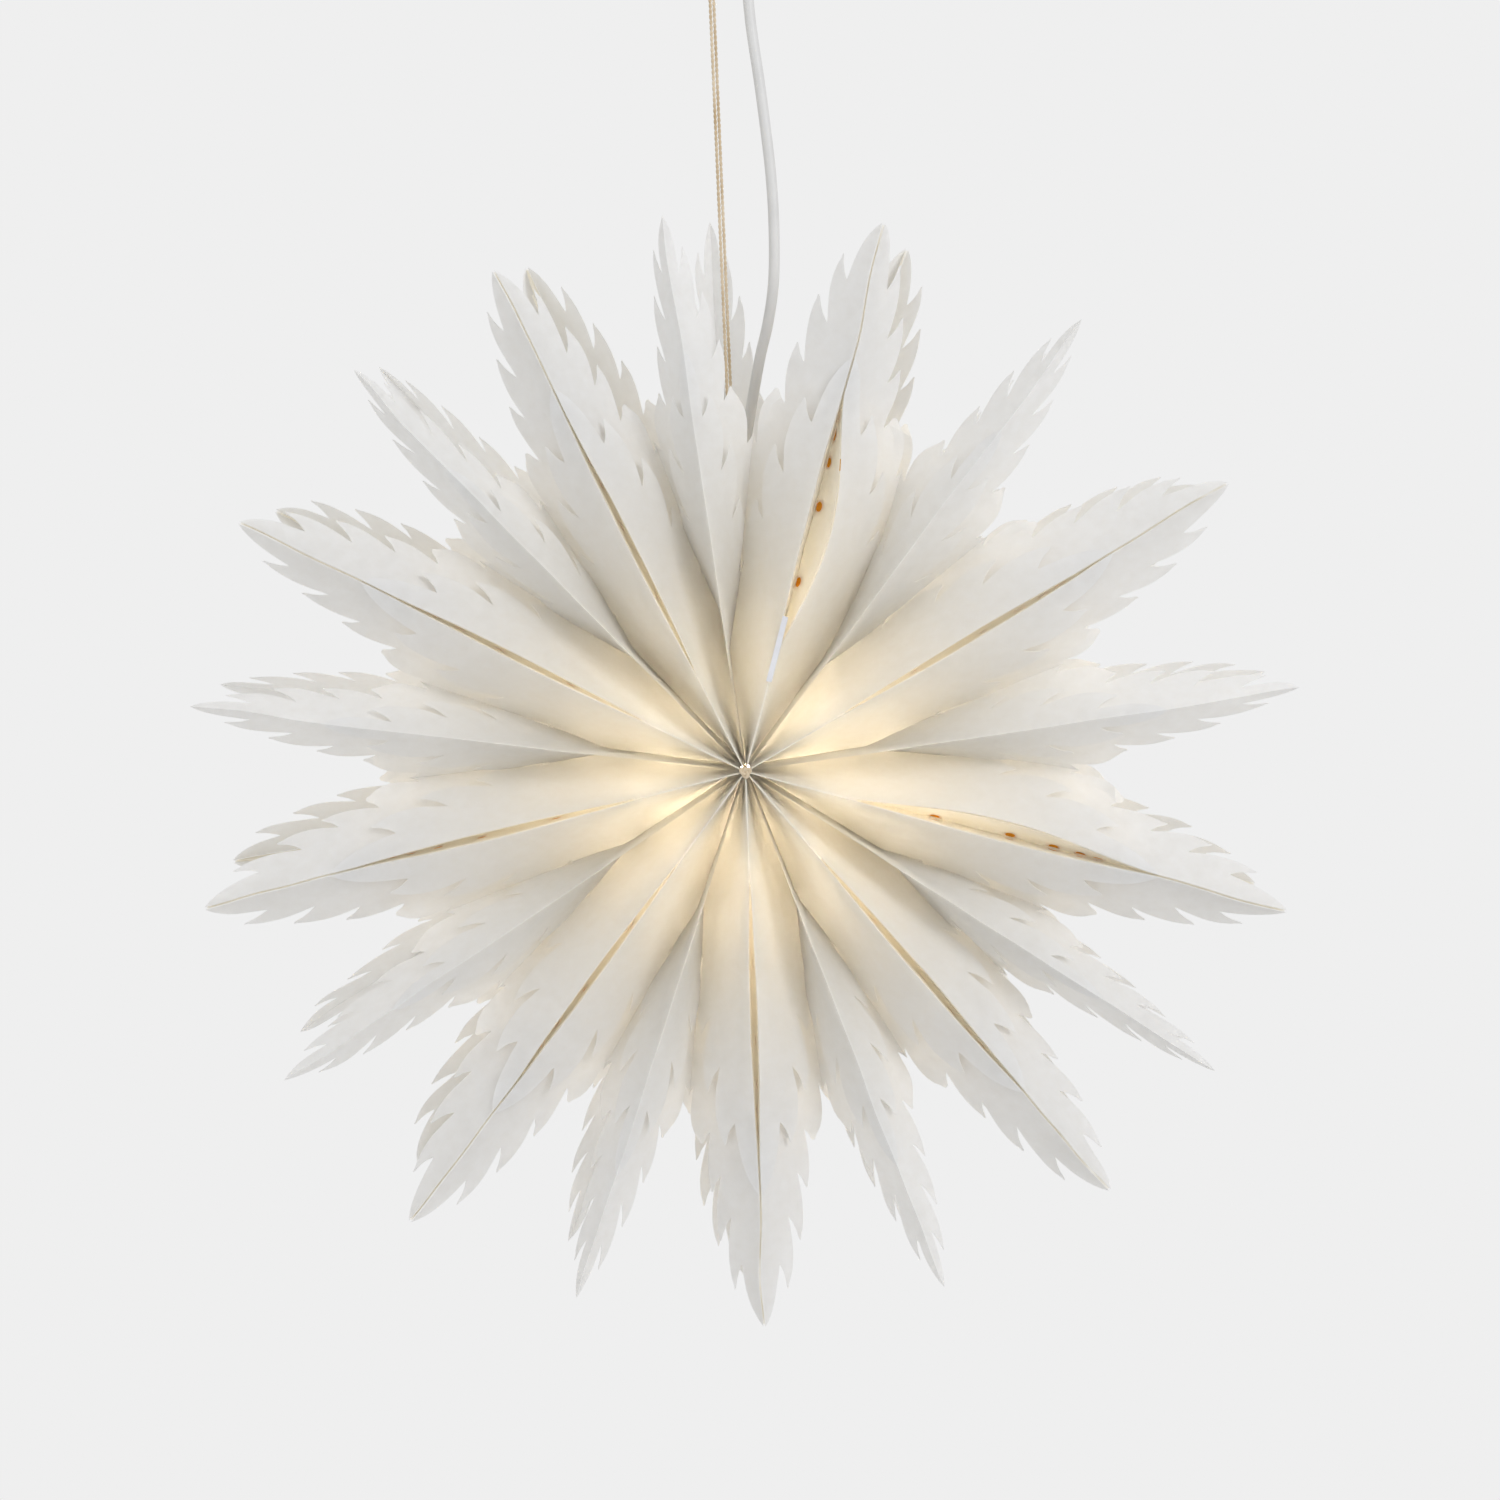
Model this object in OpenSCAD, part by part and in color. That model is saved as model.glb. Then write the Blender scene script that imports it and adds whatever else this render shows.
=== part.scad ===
// Paper star lantern, hung from a ceiling rose by a string, with its lamp inside.
// Millimetres, Z up. The origin is the middle of the ceiling plate's upper face.
// The star faces -Y. Its axis lies along Y and its centre hangs straight below the origin.

/* [Star] */
// Radius of the long leaves, from the star's centre to a tip
long_tip_r = 300; // [280:5:320]
// Radius of the short leaves that lie over the long ones
short_tip_r = 229; // [215:1:245]
// Radius of the notch between two long leaves
long_notch_r = 178; // [170:1:185]
// Radius of the notch between two short leaves
short_notch_r = 106; // [100:1:112]
// Depth of the star from its front ridges to its back ridges
star_w = 160; // [150:2:180]
// Width of the paper from a wide ridge down to the valley
wide_pleat = 50; // [48:0.5:52]
// Width of the paper from a narrow ridge down to the valley
narrow_pleat = 43.5; // [42:0.5:45]
// Thickness of the paper
paper_t = 0.3; // [0.25:0.05:0.35]
// Free space between two layers of paper
paper_gap = 0.3; // [0.25:0.05:0.4]
// Radius of the hole where all ridges meet
pole_r = 4.5; // [4.5:0.25:5.5]
// Length of the small tooth on each valley of a long leaf
long_valley_tooth = 7; // [5:0.5:9]
// Length of the small tooth on each valley of a short leaf
short_valley_tooth = 10; // [7:0.5:11]

/* [Side panels] */
// Radius of the lamp cavity cut into the side panels
cavity_r = 62; // [60:1:66]
// Diameter of a punched hole
punch_d = 5.5; // [4:0.5:6.5]
// Distance of the punched holes from the ridge
punch_inset = 15; // [12:0.5:17]
// Length of the tape that closes the ring of sleeves
tape_l = 36; // [24:2:44]
// Width of that tape
tape_w = 3; // [2:0.25:4]

/* [Bulb and lampholder] */
// Diameter of the opal globe
globe_d = 45; // [40:1:46]
// Height of the globe's neck above its centre
neck_h = 18; // [17:0.5:20]
// Diameter of the bulb's plastic collar
collar_d = 26; // [24:0.5:27]
// Height of the collar
collar_h = 16; // [14:1:18]
// Outer diameter of the bulb's screw shell
screw_d = 13.4; // [13:0.1:13.6]
// Length of the bulb's screw shell
screw_h = 17; // [16:0.5:18]
// Outer diameter of the lampholder
holder_d = 27; // [26:0.5:29]
// Height of the lampholder's lower body
skirt_h = 32; // [31:1:34]
// Height of the lampholder's cap
cap_h = 24; // [20:1:28]
// Diameter of the ring screwed on the lampholder
ring_d = 36; // [33:0.5:38]
// Height of that ring
ring_h = 8; // [6:0.5:10]
// Length of the tapered strain relief above the cap
relief_l = 22; // [20:1:26]

/* [Hanging] */
// Drop from the hook's saddle to the star's centre
hook_drop = 450; // [440:5:480]
// Diameter of each strand of the string
string_d = 2.4; // [2:0.1:2.6]
// Diameter of the knot at each end of the string
knot_d = 8.2; // [7.5:0.1:8.4]
// Diameter of the mains cable
cable_d = 6; // [5:0.25:6.5]
// Diameter of the hook's wire
hook_wire_d = 6; // [5:0.25:6.5]
// Radius of the hook's eye at the middle of the wire
hook_eye_r = 8; // [8:0.25:9]

/* [Ceiling rose] */
// Distance from the ceiling down to the hook's saddle
saddle_drop = 60; // [58:1:64]
// Diameter of the ceiling rose
rose_d = 100; // [92:2:120]
// Height of the ceiling rose
rose_h = 32; // [30:1:34]
// Wall of the ceiling rose
rose_wall = 2; // [1.6:0.1:2.5]
// Length of the ceiling plate
plate_l = 88; // [84:1:88]
// Width of the ceiling plate
plate_w = 22; // [18:1:26]
// Thickness of the ceiling plate
plate_t = 2.5; // [2:0.1:3]
// Distance between the two screw holes of the plate
plate_hole_span = 64; // [62:1:70]
// Diameter of those screw holes
plate_hole_d = 4.5; // [4:0.1:5.5]
// Distance from the hook to the cable outlet
outlet_x = 19; // [19:0.25:22]
// Length of the cord grip's tapered nose
grip_nose_l = 21; // [20:0.5:23]

/* [Hidden] */

$fn = 64;

// Paper colours: white outside, warm where the lamp shines through
paper_white = [0.95, 0.94, 0.91];
paper_shade = [0.90, 0.88, 0.83];

// The directions of the 18 rays in degrees clockwise from straight up, as hung.
// Narrow ridges and wide ridges take turns, and the first is a narrow one.
ray_deg = [
    -6, 16.9, 39, 61.7, 84, 107, 125, 141.5, 161.5,
    180.5, 200.1, 218.9, 238.4, 258.5, 279, 299, 318, 335.8
];
// How far each ray's back ridge is turned clockwise from its front ridge, degrees
back_turn = [4.4, 3.4, 1.5, 0.6, 0, 0.2, 1, 1, 1.5, 2, 2.2, 2, 2, 1.5, 1, 1, 1, 2.4];

// Teeth of a long leaf, from the tip inwards: radius of the slot and of the tooth as shares of
// the way from notch to tip, then their places across the wide pleat as shares of its width
long_teeth = [
    [0.751, 0.885, 0.27, 0.39],
    [0.552, 0.689, 0.41, 0.61],
    [0.376, 0.477, 0.58, 0.76],
    [0.19, 0.25, 0.63, 0.87]
];
long_notch_across = 0.94;
// Teeth of a short leaf above the crease that crosses the pleat, then the tooth below it
short_teeth = [
    [0.694, 0.790, 0.20, 0.35],
    [0.452, 0.573, 0.385, 0.49]
];
short_low_slot = 0.25;
short_low_tooth = [0.33, 0.69];
short_notch_across = 0.90;
// The same teeth lie this share nearer to the ridge on a narrow pleat
narrow_shift = 0.1;
// Roundness of a tooth's end: half its width as a share, and its set-back in mm
tooth_half = 0.018;
tooth_round = 2;

// Radii where the paper's cross-section is worked out
row_r = [pole_r, 25, 50, 84];
base_r = row_r[3];
// A lip stands this far from the middle of its ray, so that two panels fit between two lips
lip_clear = paper_t * 1.5 + 0.2;
lip_clear_pole = 0.35;
panel_clear = paper_t / 2 + 0.15;
// Half the space between the two layers of a narrow pleat where it is pinched shut: at the pole
// and where the long leaf begins inside it
pole_pinch = 0.35;
base_pinch = 1.4;
// Longest mitre of a fold, and half the slit along a valley fold, where the paper is creased through
fold_cap = 24;
fold_gap = 0.03;
// Offset of a long leaf behind the short leaf that lies over it
nest = paper_t + paper_gap;

star_z = -saddle_drop - hook_drop;
saddle_z = -saddle_drop;

// Radial distribution of the punched holes
punch_r = [105, 147, 171, 186, 196];

// Heights of the lamp's parts above the star's centre
collar_z = neck_h;
screw_z = collar_z + collar_h;
contact_h = 4;
skirt_z = screw_z + 1;
cap_z = skirt_z + skirt_h;
relief_z = cap_z + cap_h;
cable_start_z = relief_z + relief_l;
shell_d = screw_d + 1.6;
shell_bore_d = screw_d + 0.6;
core_z = screw_z + screw_h + contact_h + 1;
thread_play = 0.3;

// Route of the string's front strand beside the lamp: distance from the axis and height
lamp_side_y = 26.5;
string_bend_r = 5;
string_route = [[26.5, 40], [24, 70], [19.5, 118]];
strand_gap = 0.1;
strand_x = string_d / 2 + strand_gap / 2;
saddle_play = 0.6;
string_saddle_r = hook_wire_d / 2 + saddle_play + string_d / 2;

// Route of the mains cable between the two strain reliefs: x and height above the star's centre
cable_mid = [
    [0, 128], [2, 148], [8, 176], [13, 200], [18, 222], [23, 240], [27, 262],
    [28.5, 290], [28, 322], [24.5, 366], [20.5, 405]
];
cable_end_gap = 0.05;

rose_z = -rose_h;
grip_flange_t = 2;
grip_flange_d = 14;
grip_thread_d = 10;
grip_thread_l = 10;
collar_nut_h = 5;
boss_h = 5;
hook_play = 0.15;
plate_play = 0.2;
hook_top = -plate_t - 1;

// A point on a circle in the star's plane, the angle counted clockwise from straight up
function ray_point(r, a) = [r * sin(a), r * cos(a)];
function clockwise(a) = [cos(a), -sin(a)];
function turns(i) = floor(i / 18) * 360;
function ray_angle(i, side) = let (n = (i + 18) % 18)
    ray_deg[n] + turns(i) + (side > 0 ? back_turn[n] : 0);

// Where two lines meet, each given by its normal and its distance from the origin
function meet(n1, d1, n2, d2) = let (det = n1[0] * n2[1] - n1[1] * n2[0])
    [(d1 * n2[1] - d2 * n1[1]) / det, (n1[0] * d2 - n2[0] * d1) / det];
function cut_to(from, to, most) = let (l = norm(to - from))
    l > most ? from + (to - from) * most / l : to;

// Cross-section of half a sleeve's pleats at radius r: the wide ridge is at [0, 0], the narrow
// ridge at [span, ...], both measured along the chord between them and in depth
function odd_i(k) = 2 * (k - 1);
function even_i(k, m) = odd_i(k) + (m == 0 ? -1 : 1);
function lip_at(r) = min(lip_clear, lip_clear_pole + (r - pole_r) * 0.03);
function wide_point(k, m, side, r) = let (a = ray_angle(even_i(k, m), side))
    ray_point(r, a) + (m == 0 ? 1 : -1) * lip_at(r) * clockwise(a);
function narrow_point(k, side, r) = ray_point(r, ray_angle(odd_i(k), side));
function span(k, m, side, r) = norm(narrow_point(k, side, r) - wide_point(k, m, side, r));
function pinch_at(r) = max(pole_pinch, base_pinch * min(1, (r - row_r[1]) / (base_r - row_r[1])));
function wide_run(c, r) = min(c - pinch_at(r),
    (c * c + wide_pleat * wide_pleat - narrow_pleat * narrow_pleat) / (2 * c));
function valley_depth(c, r) = sqrt(wide_pleat * wide_pleat - pow(wide_run(c, r), 2));
function ridge_drop(c, r) = max(0, valley_depth(c, r)
    - sqrt(narrow_pleat * narrow_pleat - pow(c - wide_run(c, r), 2)));
function shared_drop(k, side, r) =
    (ridge_drop(span(k, 0, side, r), r) + ridge_drop(span(k, 1, side, r), r)) / 2;
function narrow_slope(k, m, side, r) = let (c = span(k, m, side, r))
    atan2(valley_depth(c, r) - shared_drop(k, side, r), c - wide_run(c, r));
function steepest(k, side, r) = max(narrow_slope(k, 0, side, r), narrow_slope(k, 1, side, r));

// One face of a sheet: off is the sheet's offset behind the short leaves, and face is -1 on the
// side of the pleats' open valleys and 1 on the side of the lamp
function lip2(k, m, side, r, off, face) = let (
        c = span(k, m, side, r),
        slope = atan2(valley_depth(c, r), wide_run(c, r))
    ) [0, off / cos(slope)] + face * paper_t / 2 * [-sin(slope), cos(slope)];
function valley2(k, m, side, r, off, face, apart) = let (
        c = span(k, m, side, r),
        slope = atan2(valley_depth(c, r), wide_run(c, r)),
        fall = narrow_slope(k, m, side, r),
        wide_n = [-sin(slope), cos(slope)],
        narrow_n = [sin(fall), cos(fall)],
        ridge = narrow_n * [c, shared_drop(k, side, r)],
        skin = off - paper_t / 2,
        fold = cut_to(
            meet(wide_n, off, narrow_n, ridge + off),
            meet(wide_n, skin, narrow_n, ridge + skin),
            fold_cap)
    ) fold + (face < 0 ? [0, 0] : paper_t * (apart < 0 ? wide_n : narrow_n)) + [apart * fold_gap, 0];
function narrow_depth(k, side, r, off, face) = let (lift = 1 / cos(steepest(k, side, r)))
    shared_drop(k, side, r) + off * lift
    + (face < 0 ? -paper_t : min(paper_t / 2 * lift, fold_cap));

function in_star(p, depth, side) = [p[0], side * (star_w / 2 - depth), star_z + p[1]];
function on_chord(k, m, side, r, q) = let (
        from = wide_point(k, m, side, r),
        way = (narrow_point(k, side, r) - from) / span(k, m, side, r)
    ) in_star(from + q[0] * way, q[1], side);
function lip3(k, m, side, r, off, face) = let (
        s = min(r, long_notch_r),
        d = ray_point(1, ray_angle(even_i(k, m), side))
    ) on_chord(k, m, side, s, lip2(k, m, side, s, off, face)) + (r - s) * [d[0], 0, d[1]];
function valley3(k, m, side, r, off, face, apart) =
    on_chord(k, m, side, r, valley2(k, m, side, r, off, face, apart));
function narrow3(k, side, r, off, face) = let (s = min(r, long_notch_r))
    in_star(narrow_point(k, side, r), narrow_depth(k, side, s, off, face), side);

// Points of a leaf's outline: radius and share across the pleat
function crease_share(r) = (r - base_r) / (long_notch_r - base_r);
function tooth_points(teeth, notch_r, tip_r, shift) = [
    for (tooth = teeth)
    let (slot = notch_r + tooth[0] * (tip_r - notch_r), top = notch_r + tooth[1] * (tip_r - notch_r))
    each [
        [slot, tooth[2] - shift],
        [top, tooth[3] - shift - tooth_half],
        [top - tooth_round, tooth[3] - shift + tooth_half]
    ]
];
function long_outline(shift) = concat(
    tooth_points(long_teeth, long_notch_r, long_tip_r, shift),
    [[long_notch_r + 1, long_notch_across - shift / 3]]);
short_slot_r = short_notch_r + short_low_slot * (short_tip_r - short_notch_r);
short_tooth_r = short_notch_r + short_low_tooth[0] * (short_tip_r - short_notch_r);
function short_high(shift) = concat(
    tooth_points(short_teeth, short_notch_r, short_tip_r, shift),
    [[short_slot_r, crease_share(short_slot_r)]]);
short_low = [
    [short_tooth_r, short_low_tooth[1] - tooth_half],
    [short_tooth_r - tooth_round / 2, short_low_tooth[1] + tooth_half],
    [short_notch_r, short_notch_across],
    [short_notch_r + short_valley_tooth, 1]
];

// A pleat's outer part is two flat facets with a crease from the ridge to the long leaf's valley
function outer_facet(ridge, at_ridge, at_valley, across) = ridge + across * (at_valley - at_ridge);
function inner_facet(ridge, valley, valley_end, p) =
    ridge + p[1] * (valley - ridge) + crease_share(p[0]) * (valley_end - valley);

function triangles(apex, ring) = [for (i = [0 : len(ring) - 2]) [apex, ring[i], ring[i + 1]]];
function flipped(t) = [for (f = t) [f[0], f[2], f[1]]];
function count_from(start, n) = [for (i = [0 : n - 1]) start + i];
function backwards(a) = [for (i = [len(a) - 1 : -1 : 0]) a[i]];
function between_rows(a, b) = [
    for (i = [0 : len(a) - 2])
    each [[a[i], a[i + 1], b[i + 1]], [a[i], b[i + 1], b[i]]]
];

// A sheet of paper from the points of its two faces, the triangles of one face and its rim
module sheet(points, opposite, skin, rim, turned) {
    n = len(points);
    under = [for (f = skin) [f[0] + n, f[2] + n, f[1] + n]];
    walls = [
        for (i = [0 : len(rim) - 1])
        let (a = rim[i], b = rim[(i + 1) % len(rim)])
        each a < b ? [[b, a, b + n], [a, a + n, b + n]] : [[b, a, a + n], [b, a + n, b + n]]
    ];
    faces = concat(skin, under, walls);
    polyhedron(concat(points, opposite), turned ? flipped(faces) : faces);
}
// Points at the same places on both faces of a leaf: -1 outside, 1 towards the lamp
rows_n = len(row_r);
high_n = len(short_high(0));
low_n = len(short_low);
long_n = len(long_outline(0));
first_tooth_n = 3;

// The wide pleat of a short leaf
function short_wide_points(k, m, side, face) = let (
        lips = [for (r = row_r) lip3(k, m, side, r, 0, face)],
        valleys = [for (r = row_r) valley3(k, m, side, r, 0, face, -1)],
        end_lip = lip3(k, m, side, long_notch_r, 0, face),
        end_valley = valley3(k, m, side, long_notch_r, 0, face, -1)
    ) concat(
        lips, valleys, [lip3(k, m, side, short_tip_r, 0, face)],
        [for (p = short_high(0))
            outer_facet(lip3(k, m, side, p[0], 0, face), end_lip, end_valley, p[1])],
        [for (p = short_low) inner_facet(lips[rows_n - 1], valleys[rows_n - 1], end_valley, p)]
    );
module short_wide(k, m, side) {
    lips = count_from(0, rows_n);
    valleys = count_from(rows_n, rows_n);
    high = count_from(2 * rows_n, 1 + high_n);
    low = count_from(2 * rows_n + 1 + high_n, low_n);
    skin = concat(
        between_rows(lips, valleys),
        triangles(lips[rows_n - 1], high),
        triangles(valleys[rows_n - 1], concat([lips[rows_n - 1], high[high_n]], low)));
    rim = concat(lips, high, low, backwards(valleys));
    sheet(short_wide_points(k, m, side, -1), short_wide_points(k, m, side, 1), skin, rim,
        (m == 1) != (side > 0));
}

// The two narrow pleats of a short leaf, folded over the narrow ridge
function short_narrow_points(k, side, face) = let (
        ridge = [for (r = row_r) narrow3(k, side, r, 0, face)],
        end_ridge = narrow3(k, side, long_notch_r, 0, face)
    ) concat(ridge, [end_ridge, narrow3(k, side, short_tip_r, 0, face)], [
        for (m = [0, 1])
        let (
            valleys = [for (r = row_r) valley3(k, m, side, r, 0, face, 1)],
            end_valley = valley3(k, m, side, long_notch_r, 0, face, 1)
        )
        each concat(
            valleys,
            [for (p = short_high(narrow_shift))
                outer_facet(narrow3(k, side, p[0], 0, face), end_ridge, end_valley, p[1])],
            [for (p = short_low) inner_facet(ridge[rows_n - 1], valleys[rows_n - 1], end_valley, p)]
        )
    ]);
module short_narrow(k, side) {
    ridge = count_from(0, rows_n);
    bend = rows_n;
    tip = bend + 1;
    half_n = rows_n + high_n + low_n;
    halves = [
        for (m = [0, 1])
        let (start = tip + 1 + m * half_n)
        [
            count_from(start, rows_n),
            count_from(start + rows_n, high_n),
            count_from(start + rows_n + high_n, low_n)
        ]
    ];
    faces = [
        for (h = halves)
        concat(
            between_rows(h[0], ridge),
            flipped(triangles(bend, concat([tip], [for (i = [0 : first_tooth_n]) h[1][i]]))),
            flipped(triangles(ridge[rows_n - 1],
                concat([bend], [for (i = [first_tooth_n : high_n - 1]) h[1][i]]))),
            flipped(triangles(h[0][rows_n - 1],
                concat([ridge[rows_n - 1], h[1][high_n - 1]], h[2]))))
    ];
    rim = concat([0], halves[0][0], backwards(halves[0][2]), backwards(halves[0][1]), [tip],
        halves[1][1], halves[1][2], backwards(halves[1][0]));
    sheet(short_narrow_points(k, side, -1), short_narrow_points(k, side, 1),
        concat(faces[0], flipped(faces[1])), rim, side > 0);
}

// The wide pleat of a long leaf
long_rows = [base_r, long_notch_r];
function beyond_notch(valleys) = valleys[1]
    + long_valley_tooth / (long_notch_r - base_r) * (valleys[1] - valleys[0]);
function long_wide_points(k, m, side, face) = let (
        lips = [for (r = long_rows) lip3(k, m, side, r, nest, face)],
        valleys = [for (r = long_rows) valley3(k, m, side, r, nest, face, -1)]
    ) concat(
        lips, valleys, [lip3(k, m, side, long_tip_r, nest, face)],
        [for (p = long_outline(0))
            outer_facet(lip3(k, m, side, p[0], nest, face), lips[1], valleys[1], p[1])],
        [beyond_notch(valleys)]
    );
module long_wide(k, m, side) {
    outline = count_from(4, 1 + long_n);
    end = 5 + long_n;
    skin = concat(
        between_rows([0, 1], [2, 3]),
        triangles(1, concat(outline, [3])),
        [[outline[long_n], end, 3]]);
    sheet(long_wide_points(k, m, side, -1), long_wide_points(k, m, side, 1), skin,
        concat([0, 1], outline, [end, 3, 2]), (m == 1) != (side > 0));
}

// The two narrow pleats of a long leaf
function long_narrow_points(k, side, face) = let (
        end_ridge = narrow3(k, side, long_notch_r, nest, face)
    ) concat(
    [for (r = [base_r, long_notch_r, long_tip_r]) narrow3(k, side, r, nest, face)],
    [
        for (m = [0, 1])
        let (valleys = [for (r = long_rows) valley3(k, m, side, r, nest, face, 1)])
        each concat(
            valleys,
            [for (p = long_outline(narrow_shift))
                outer_facet(narrow3(k, side, p[0], nest, face), end_ridge, valleys[1], p[1])],
            [beyond_notch(valleys)]
        )
    ]
);
module long_narrow(k, side) {
    half_n = 3 + long_n;
    faces = [
        for (start = [3, 3 + half_n])
        let (
            outline = count_from(start + 2, long_n),
            end = start + 2 + long_n,
            valley = start + 1
        )
        concat(
            between_rows([start, valley], [0, 1]),
            flipped(triangles(1, concat([2], outline, [valley]))),
            [[end, outline[long_n - 1], valley]]
        )
    ];
    rim = concat([0, 3, 4], backwards(count_from(5, long_n + 1)), [2],
        count_from(5 + half_n, long_n + 1), [4 + half_n, 3 + half_n]);
    sheet(long_narrow_points(k, side, -1), long_narrow_points(k, side, 1),
        concat(faces[0], flipped(faces[1])), rim, side > 0);
}

// A side panel: one wall of a sleeve, with a leaf's half at its front and back ends
function panel_edge(a, m, r) = ray_point(r, a) + (m == 0 ? 1 : -1) * panel_clear * clockwise(a);
function panel_point(k, m, r, s, face) = let (
        a = ray_angle(even_i(k, m), -1),
        z = ray_angle(even_i(k, m), 1),
        v = s / star_w,
        p = panel_edge(a, m, r) * (1 - v) + panel_edge(z, m, r) * v
            + face * (m == 0 ? 1 : -1) * paper_t / 2 * clockwise(a * (1 - v) + z * v)
    ) [p[0], -star_w / 2 + s, star_z + p[1]];
panel_tip_s = 1;
panel_leaf = [
    for (tooth = long_teeth)
    each [
        [long_notch_r + tooth[0] * (long_tip_r - long_notch_r), tooth[2] * wide_pleat + panel_tip_s],
        [long_notch_r + tooth[1] * (long_tip_r - long_notch_r), tooth[3] * wide_pleat + panel_tip_s]
    ]
];
panel_half = concat(
    [[cavity_r, panel_tip_s], [long_tip_r - 1, panel_tip_s]], panel_leaf,
    [[long_notch_r, wide_pleat * long_notch_across]]);
panel_mid_s = star_w / 2 - fold_gap;
// Half a panel, from its ridge to the glued seam in the middle of the sleeve
module half_panel(k, m, back) {
    rim = concat(panel_half, [[long_notch_r + long_valley_tooth, panel_mid_s], [cavity_r, panel_mid_s]]);
    n = len(rim);
    leaf_n = len(panel_half) - 2;
    skin = concat(
        triangles(n - 1, [0, leaf_n + 1]),
        triangles(0, concat([1], count_from(2, leaf_n))),
        [[n - 1, leaf_n + 1, n - 2]]);
    along = [for (p = rim) [p[0], back ? star_w - p[1] : p[1]]];
    outward = [for (p = along) panel_point(k, m, p[0], p[1], -1)];
    inward = [for (p = along) panel_point(k, m, p[0], p[1], 1)];
    difference() {
        sheet(outward, inward, skin, count_from(0, n), (m == 0) != back);
        for (r = punch_r) {
            s = back ? star_w - punch_inset : punch_inset;
            turn = ray_angle(even_i(k, m), -1) * (1 - s / star_w) + ray_angle(even_i(k, m), 1) * s / star_w;
            translate(panel_point(k, m, r, s, 0))
                rotate([0, turn, 0])
                rotate([0, 90, 0])
                cylinder(h = 4, d = punch_d, center = true, $fn = 24);
        }
    }
}

module side_panels(k) {
    color(paper_shade) {
        half_panel(k, 0, false);
        half_panel(k, 0, true);
        half_panel(k, 1, false);
        half_panel(k, 1, true);
    }
}
module front_leaves(k) {
    color(paper_white) {
        long_wide(k, 0, -1);
        long_narrow(k, -1);
        long_wide(k, 1, -1);
    }
}
module back_leaves(k) {
    color(paper_white) {
        long_wide(k, 0, 1);
        long_narrow(k, 1);
        long_wide(k, 1, 1);
    }
}
module short_leaves(k) {
    color(paper_white) {
        for (side = [-1, 1]) {
            short_wide(k, 0, side);
            short_narrow(k, side);
            short_wide(k, 1, side);
        }
    }
}

// Tape over the two lips where the last sleeve meets the first
module seam_tape() {
    tape_t = 0.15;
    color([0.88, 0.91, 0.94])
        translate([0, 0, star_z])
        rotate([0, ray_angle(1, -1), 0])
        translate([-tape_w / 2, -star_w / 2 - paper_t - tape_t, 50])
        cube([tape_w, tape_t, tape_l]);
}

// A knot of the string, pulled into the hole where the ridges meet
knot_y = star_w / 2 + 0.4;
knot_h = string_d * 0.8;
module knot(side) {
    color([0.66, 0.55, 0.42])
        translate([0, side * knot_y, star_z])
        rotate([90, 0, 0]) {
            rotate_extrude()
                translate([knot_d / 2 - string_d / 2, 0])
                circle(d = string_d, $fn = 24);
            cylinder(h = knot_h, d = knot_d - string_d, center = true);
        }
}
module front_knot() {
    knot(-1);
}
module back_knot() {
    knot(1);
}

// A tube swept along a route, its rings turned square to the way and to a fixed direction
function unit(v) = v / norm(v);
function way_at(route, i) = unit(route[min(i + 1, len(route) - 1)] - route[max(i - 1, 0)]);
function tube_ring(p, way, side_way, d, n) = let (
        across = unit(cross(way, side_way)),
        up = cross(across, way)
    ) [for (j = [0 : n - 1]) p + d / 2 * (cos(360 * j / n) * across + sin(360 * j / n) * up)];
module tube(route, d, n, side_way) {
    count = len(route);
    points = [for (i = [0 : count - 1]) each tube_ring(route[i], way_at(route, i), side_way, d, n)];
    skin = [
        for (i = [0 : count - 2])
        for (j = [0 : n - 1])
        let (a = i * n + j, b = i * n + (j + 1) % n)
        each [[a, a + n, b], [b, a + n, b + n]]
    ];
    ends = [count_from(0, n), backwards(count_from((count - 1) * n, n))];
    polyhedron(points, concat(skin, ends));
}

// Half of the string: out of the knot, up beside the lamp and up to the hook's saddle
function bend_up(side) = [
    for (a = [0 : 22.5 : 90])
    [0, side * (lamp_side_y + string_bend_r * (1 - sin(a))), star_z + string_bend_r * (1 - cos(a))]
];
function strand(side) = concat(
    [[0, side * (knot_y - knot_h / 2), star_z]],
    bend_up(side),
    [for (p = string_route) [side * strand_x * min(1, p[1] / 60), side * p[0], star_z + p[1]]],
    [for (f = [0.3, 0.65])
        [side * strand_x,
         side * (string_saddle_r + (string_route[2][0] - string_saddle_r) * (1 - f)),
         star_z + string_route[2][1] + f * (hook_drop - string_route[2][1])]]
);
saddle_arc = [
    for (a = [0 : 20 : 180])
    [-strand_x * cos(a), -string_saddle_r * cos(a), saddle_z + string_saddle_r * sin(a)]
];
module hanging_string() {
    color([0.80, 0.70, 0.56])
        tube(concat(strand(-1), saddle_arc, backwards(strand(1))), string_d, 8, [1, 0, 0]);
}

// A smooth route through chosen points
function blend_point(a, b, c, d, t) = 0.5 * ((2 * b) + (c - a) * t + (2 * a - 5 * b + 4 * c - d) * t * t
    + (3 * b - a - 3 * c + d) * t * t * t);
function smooth_route(p, steps) = let (n = len(p)) concat([
    for (i = [0 : n - 2])
    for (j = [0 : steps - 1])
    blend_point(p[max(i - 1, 0)], p[i], p[i + 1], p[min(i + 2, n - 1)], j / steps)
], [p[n - 1]]);
grip_end_z = rose_z - grip_flange_t - grip_nose_l;
cable_points = concat(
    [[0, 0, star_z + cable_start_z + cable_end_gap]],
    [for (p = cable_mid) [p[0], 0, star_z + p[1]]],
    [[outlet_x, 0, grip_end_z - 14], [outlet_x, 0, grip_end_z - cable_end_gap]]);
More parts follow.
